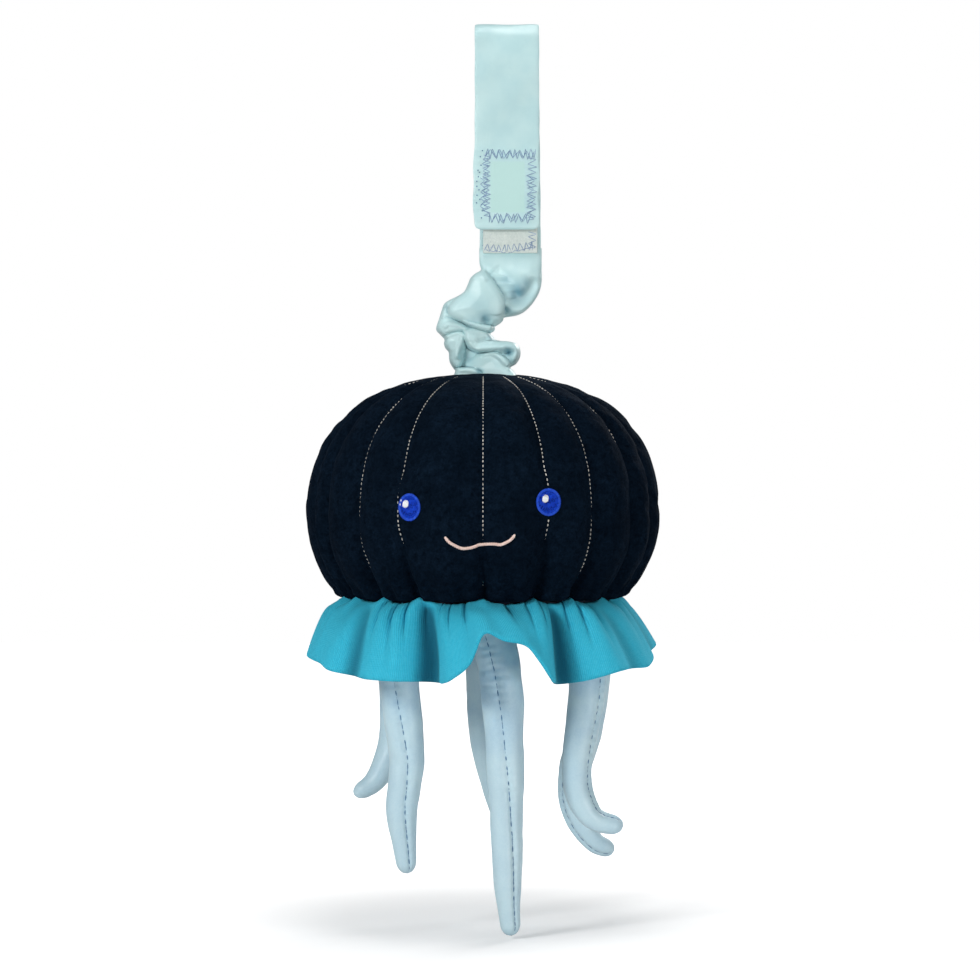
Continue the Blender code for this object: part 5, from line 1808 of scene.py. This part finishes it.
# %% Stack the sleeve
SLEEVE_COLUMNS = 240
SLEEVE_ROWS = 194
SLEEVE_CLOTH = 0.0004
FRONT_SHARE = 0.66
SLEEVE_CENTRE_Y = 0.0004
SLEEVE_TUCK = 0.0012
STRAP_MEETS = 250.0
STRAP_SETTLES = 34.0
SIDE_ROUND = 1.6
MOUTH_FRONT = 0.00155
MOUTH_BACK = 0.00495
SLEEVE_FLAT = (0.060, 0.075)
ELASTIC_COVER = 0.0009
ELASTIC_MARGIN = 0.0040
ELASTIC_STEP = 0.001
SLEEVE_TOP_TUCK = 0.0012
RELIEF_PIXEL_TOP = PHOTO_PIXELS / 2 + (CAMERA_LEVEL - sleeve_high.z) / PIXEL
SLEEVE_LEFT_LINE = smooth_line(SLEEVE_LEFT, 300)
SLEEVE_RIGHT_LINE = smooth_line(SLEEVE_RIGHT, 300)


def elastic_rows():
    """Level, both sides and front of the elastic, every millimetre down."""
    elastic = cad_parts["sleeve_elastic"]
    places = np.array([elastic.matrix_world @ vertex.co for vertex in elastic.data.vertices])
    rows = []
    for level in np.arange(places[:, 2].min(), places[:, 2].max(), ELASTIC_STEP):
        near = places[np.abs(places[:, 2] - level) < 3 * ELASTIC_STEP]
        if len(near):
            rows.append((level, near[:, 0].min(), near[:, 0].max(), near[:, 1].min()))
    return np.array(rows)


ELASTIC_ROWS = elastic_rows()


def read_front(values, across, down):
    """Value of a map of the front at places in the photograph's pixels."""
    return read_grid(values, (across - RELIEF_LOW[0]) / RELIEF_STEP, (down - RELIEF_LOW[1]) / RELIEF_STEP)


def sleeve_points(around, along):
    """Front relief, round sides and folded back of the sleeve's rings."""
    level = mix(sleeve_low.z - SLEEVE_TUCK, sleeve_high.z + SLEEVE_TOP_TUCK, along)
    down = RELIEF_PIXEL_TOP + (sleeve_high.z - level) / PIXEL
    left, right = np.interp(down, *SLEEVE_LEFT_LINE.T), np.interp(down, *SLEEVE_RIGHT_LINE.T)
    front = around < FRONT_SHARE
    turn = np.where(front, around / FRONT_SHARE, (around - FRONT_SHARE) / (1 - FRONT_SHARE))
    side = np.where(front, -np.cos(math.pi * turn), np.cos(math.pi * turn))
    across = mix(left, right, (side + 1) / 2)
    x = CAMERA_ACROSS + (across - PHOTO_PIXELS / 2) * PIXEL
    share = 1 - along
    gathered = ease((share - 0.02) / 0.32)
    rounded = np.sqrt(np.clip(1 - side ** 2, 0.0, 1.0))
    edge_mm = (1 - np.abs(side)) * (right - left) / 2 * PIXEL * 1000
    hold = round_edge(edge_mm / SIDE_ROUND)
    relief = read_front(RELIEF, across, down) / 1000 * ease((down - STRAP_MEETS) / STRAP_SETTLES)
    front_depth = hold * (0.0022 * rounded + relief)
    stack = 2 * math.pi * (share * 6.3 + 0.30 * side + 0.22 * np.sin(3.1 * side + 9 * share))
    folds = 1.5 * np.abs(np.sin(stack / 2)) ** 0.8 - 0.8 + 0.35 * np.sin(2.7 * stack + 4 * side)
    back_depth = 0.0078 * rounded ** 0.75 * (1 + 0.17 * folds * gathered)
    flat = np.where(front, SLEEVE_CENTRE_Y - front_depth, SLEEVE_CENTRE_Y + back_depth)
    mouth_middle = (MOUTH_FRONT + MOUTH_BACK) / 2
    mouth_front = mix(mouth_middle, MOUTH_FRONT, rounded ** 0.3) - relief * hold
    mouth = np.where(front, mouth_front, mix(mouth_middle, MOUTH_BACK, rounded ** 0.3))
    y = mix(mouth, flat, gathered)
    low, high, ahead = (np.interp(level, ELASTIC_ROWS[:, 0], column) for column in ELASTIC_ROWS[:, 1:].T)
    over = ease((x - low + ELASTIC_MARGIN) / ELASTIC_MARGIN)
    over *= ease((high + ELASTIC_MARGIN - x) / ELASTIC_MARGIN) * front
    y = mix(y, np.minimum(y, ahead - ELASTIC_COVER), over)
    return np.stack([x, y, level], axis=1)


sleeve_mesh = cloth_mesh("ruched_satin", SLEEVE_COLUMNS, SLEEVE_ROWS, sleeve_points, SLEEVE_FLAT)
sleeve_x, sleeve_y, sleeve_z = points_of(sleeve_mesh).T
sleeve_across = PHOTO_PIXELS / 2 + (sleeve_x - CAMERA_ACROSS) / PIXEL
sleeve_down = RELIEF_PIXEL_TOP + (sleeve_high.z - sleeve_z) / PIXEL
in_front = ease((SLEEVE_CENTRE_Y - sleeve_y) / 0.004)
# The sleeve's front keeps its painted fold shade on its points.
mark_points(sleeve_mesh, "in_fold", in_front * read_front(SLEEVE_SHADE_MAP, sleeve_across, sleeve_down))
sleeve = add_piece("ruched_satin", sleeve_mesh, satin)
thicken(sleeve, SLEEVE_CLOTH, offset=-1.0)
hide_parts("ruched_sleeve")
print("sleeve has", count_triangles(sleeve), "triangles")

# %% [markdown]
# ## Light, floor and background
# The photograph has soft light from all sides and a white ground with a faint shadow. A
# white sheet would need strong lamps to look white, which would bleach the satin. So the
# lamps stay moderate, and the world and floor are white only where the camera sees them.

# %% World
WORLD_FILL = 0.24
world = bpy.data.worlds.new("studio")
bpy.context.scene.world = world
world.use_nodes = True
tree = world.node_tree
tree.nodes.clear()
ray = add_node(tree, "LightPath").outputs
seen = math_node(tree, "MAXIMUM", ray["Is Camera Ray"], ray["Is Transmission Ray"])
soft_fill = add_node(tree, "Background", {"Color": WHITE, "Strength": WORLD_FILL}).outputs[0]
seen_white = add_node(tree, "Background", {"Color": WHITE, "Strength": 1.0}).outputs[0]
world_mix = add_node(tree, "MixShader", {0: seen, 1: soft_fill, 2: seen_white}).outputs[0]
add_node(tree, "OutputWorld", {"Surface": world_mix})
print("world fill", WORLD_FILL)

# %% Lamps
LAMPS = (
    ("key", (-0.72, -0.78, 0.16), 0.32, 6.1),
    ("fill", (0.66, -0.88, -0.36), 0.42, 6.2),
    ("top", (0.02, -0.20, 0.70), 0.40, 2.7),
    ("rim", (0.45, 0.75, 0.25), 0.45, 3.6),
)
AIM = Vector((AXIS_X, 0.0, CAMERA_LEVEL))
for lamp_name, lamp_place, lamp_size, lamp_power in LAMPS:
    lamp_data = bpy.data.lights.new(lamp_name, "AREA")
    lamp_data.shape = "DISK"
    lamp_data.size = lamp_size
    lamp_data.energy = lamp_power
    lamp = put_in_scene(lamp_name, lamp_data)
    lamp.location = lamp_place
    lamp.rotation_euler = (AIM - Vector(lamp_place)).to_track_quat("-Z", "Y").to_euler()
print(len(LAMPS), "lamps")

# %% Floor
FLOOR_LEVEL = cad_box[0].z - 0.0012
FLOOR_HALF = 1.6
FLOOR_MATT = (0.80, 0.80, 0.80)
GLOW_NEAR = 0.05
GLOW_FAR = 0.34
floor_shape = bmesh.new()
bmesh.ops.create_grid(floor_shape, x_segments=1, y_segments=1, size=FLOOR_HALF)
bmesh.ops.translate(floor_shape, vec=(0.0, 0.6, FLOOR_LEVEL), verts=floor_shape.verts)
floor_mesh = bpy.data.meshes.new("floor")
floor_shape.to_mesh(floor_mesh)
floor_shape.free()
floor = put_in_scene("floor", floor_mesh)
floor_paint = bpy.data.materials.new("white floor")
floor_paint.use_nodes = True
tree = floor_paint.node_tree
tree.nodes.clear()
below_toy = {0: place_socket(tree, "Object"), 1: (AXIS_X, 0.0, FLOOR_LEVEL)}
away = add_node(tree, "VectorMath", below_toy, operation="SUBTRACT").outputs["Vector"]
distance = add_node(tree, "VectorMath", {0: away}, operation="LENGTH").outputs["Value"]
brightness = spread_node(tree, distance, GLOW_NEAR, GLOW_FAR, 0.30, 1.0)
seen_glow = product(tree, add_node(tree, "LightPath").outputs["Is Camera Ray"], brightness)
glow = add_node(tree, "Emission", {"Color": WHITE, "Strength": seen_glow}).outputs[0]
matt = add_node(tree, "BsdfDiffuse", {"Color": FLOOR_MATT}).outputs[0]
both = add_node(tree, "AddShader", {0: matt, 1: glow}).outputs[0]
add_node(tree, "OutputMaterial", {"Surface": both})
floor_mesh.materials.append(floor_paint)
print("floor at", round(FLOOR_LEVEL, 4))
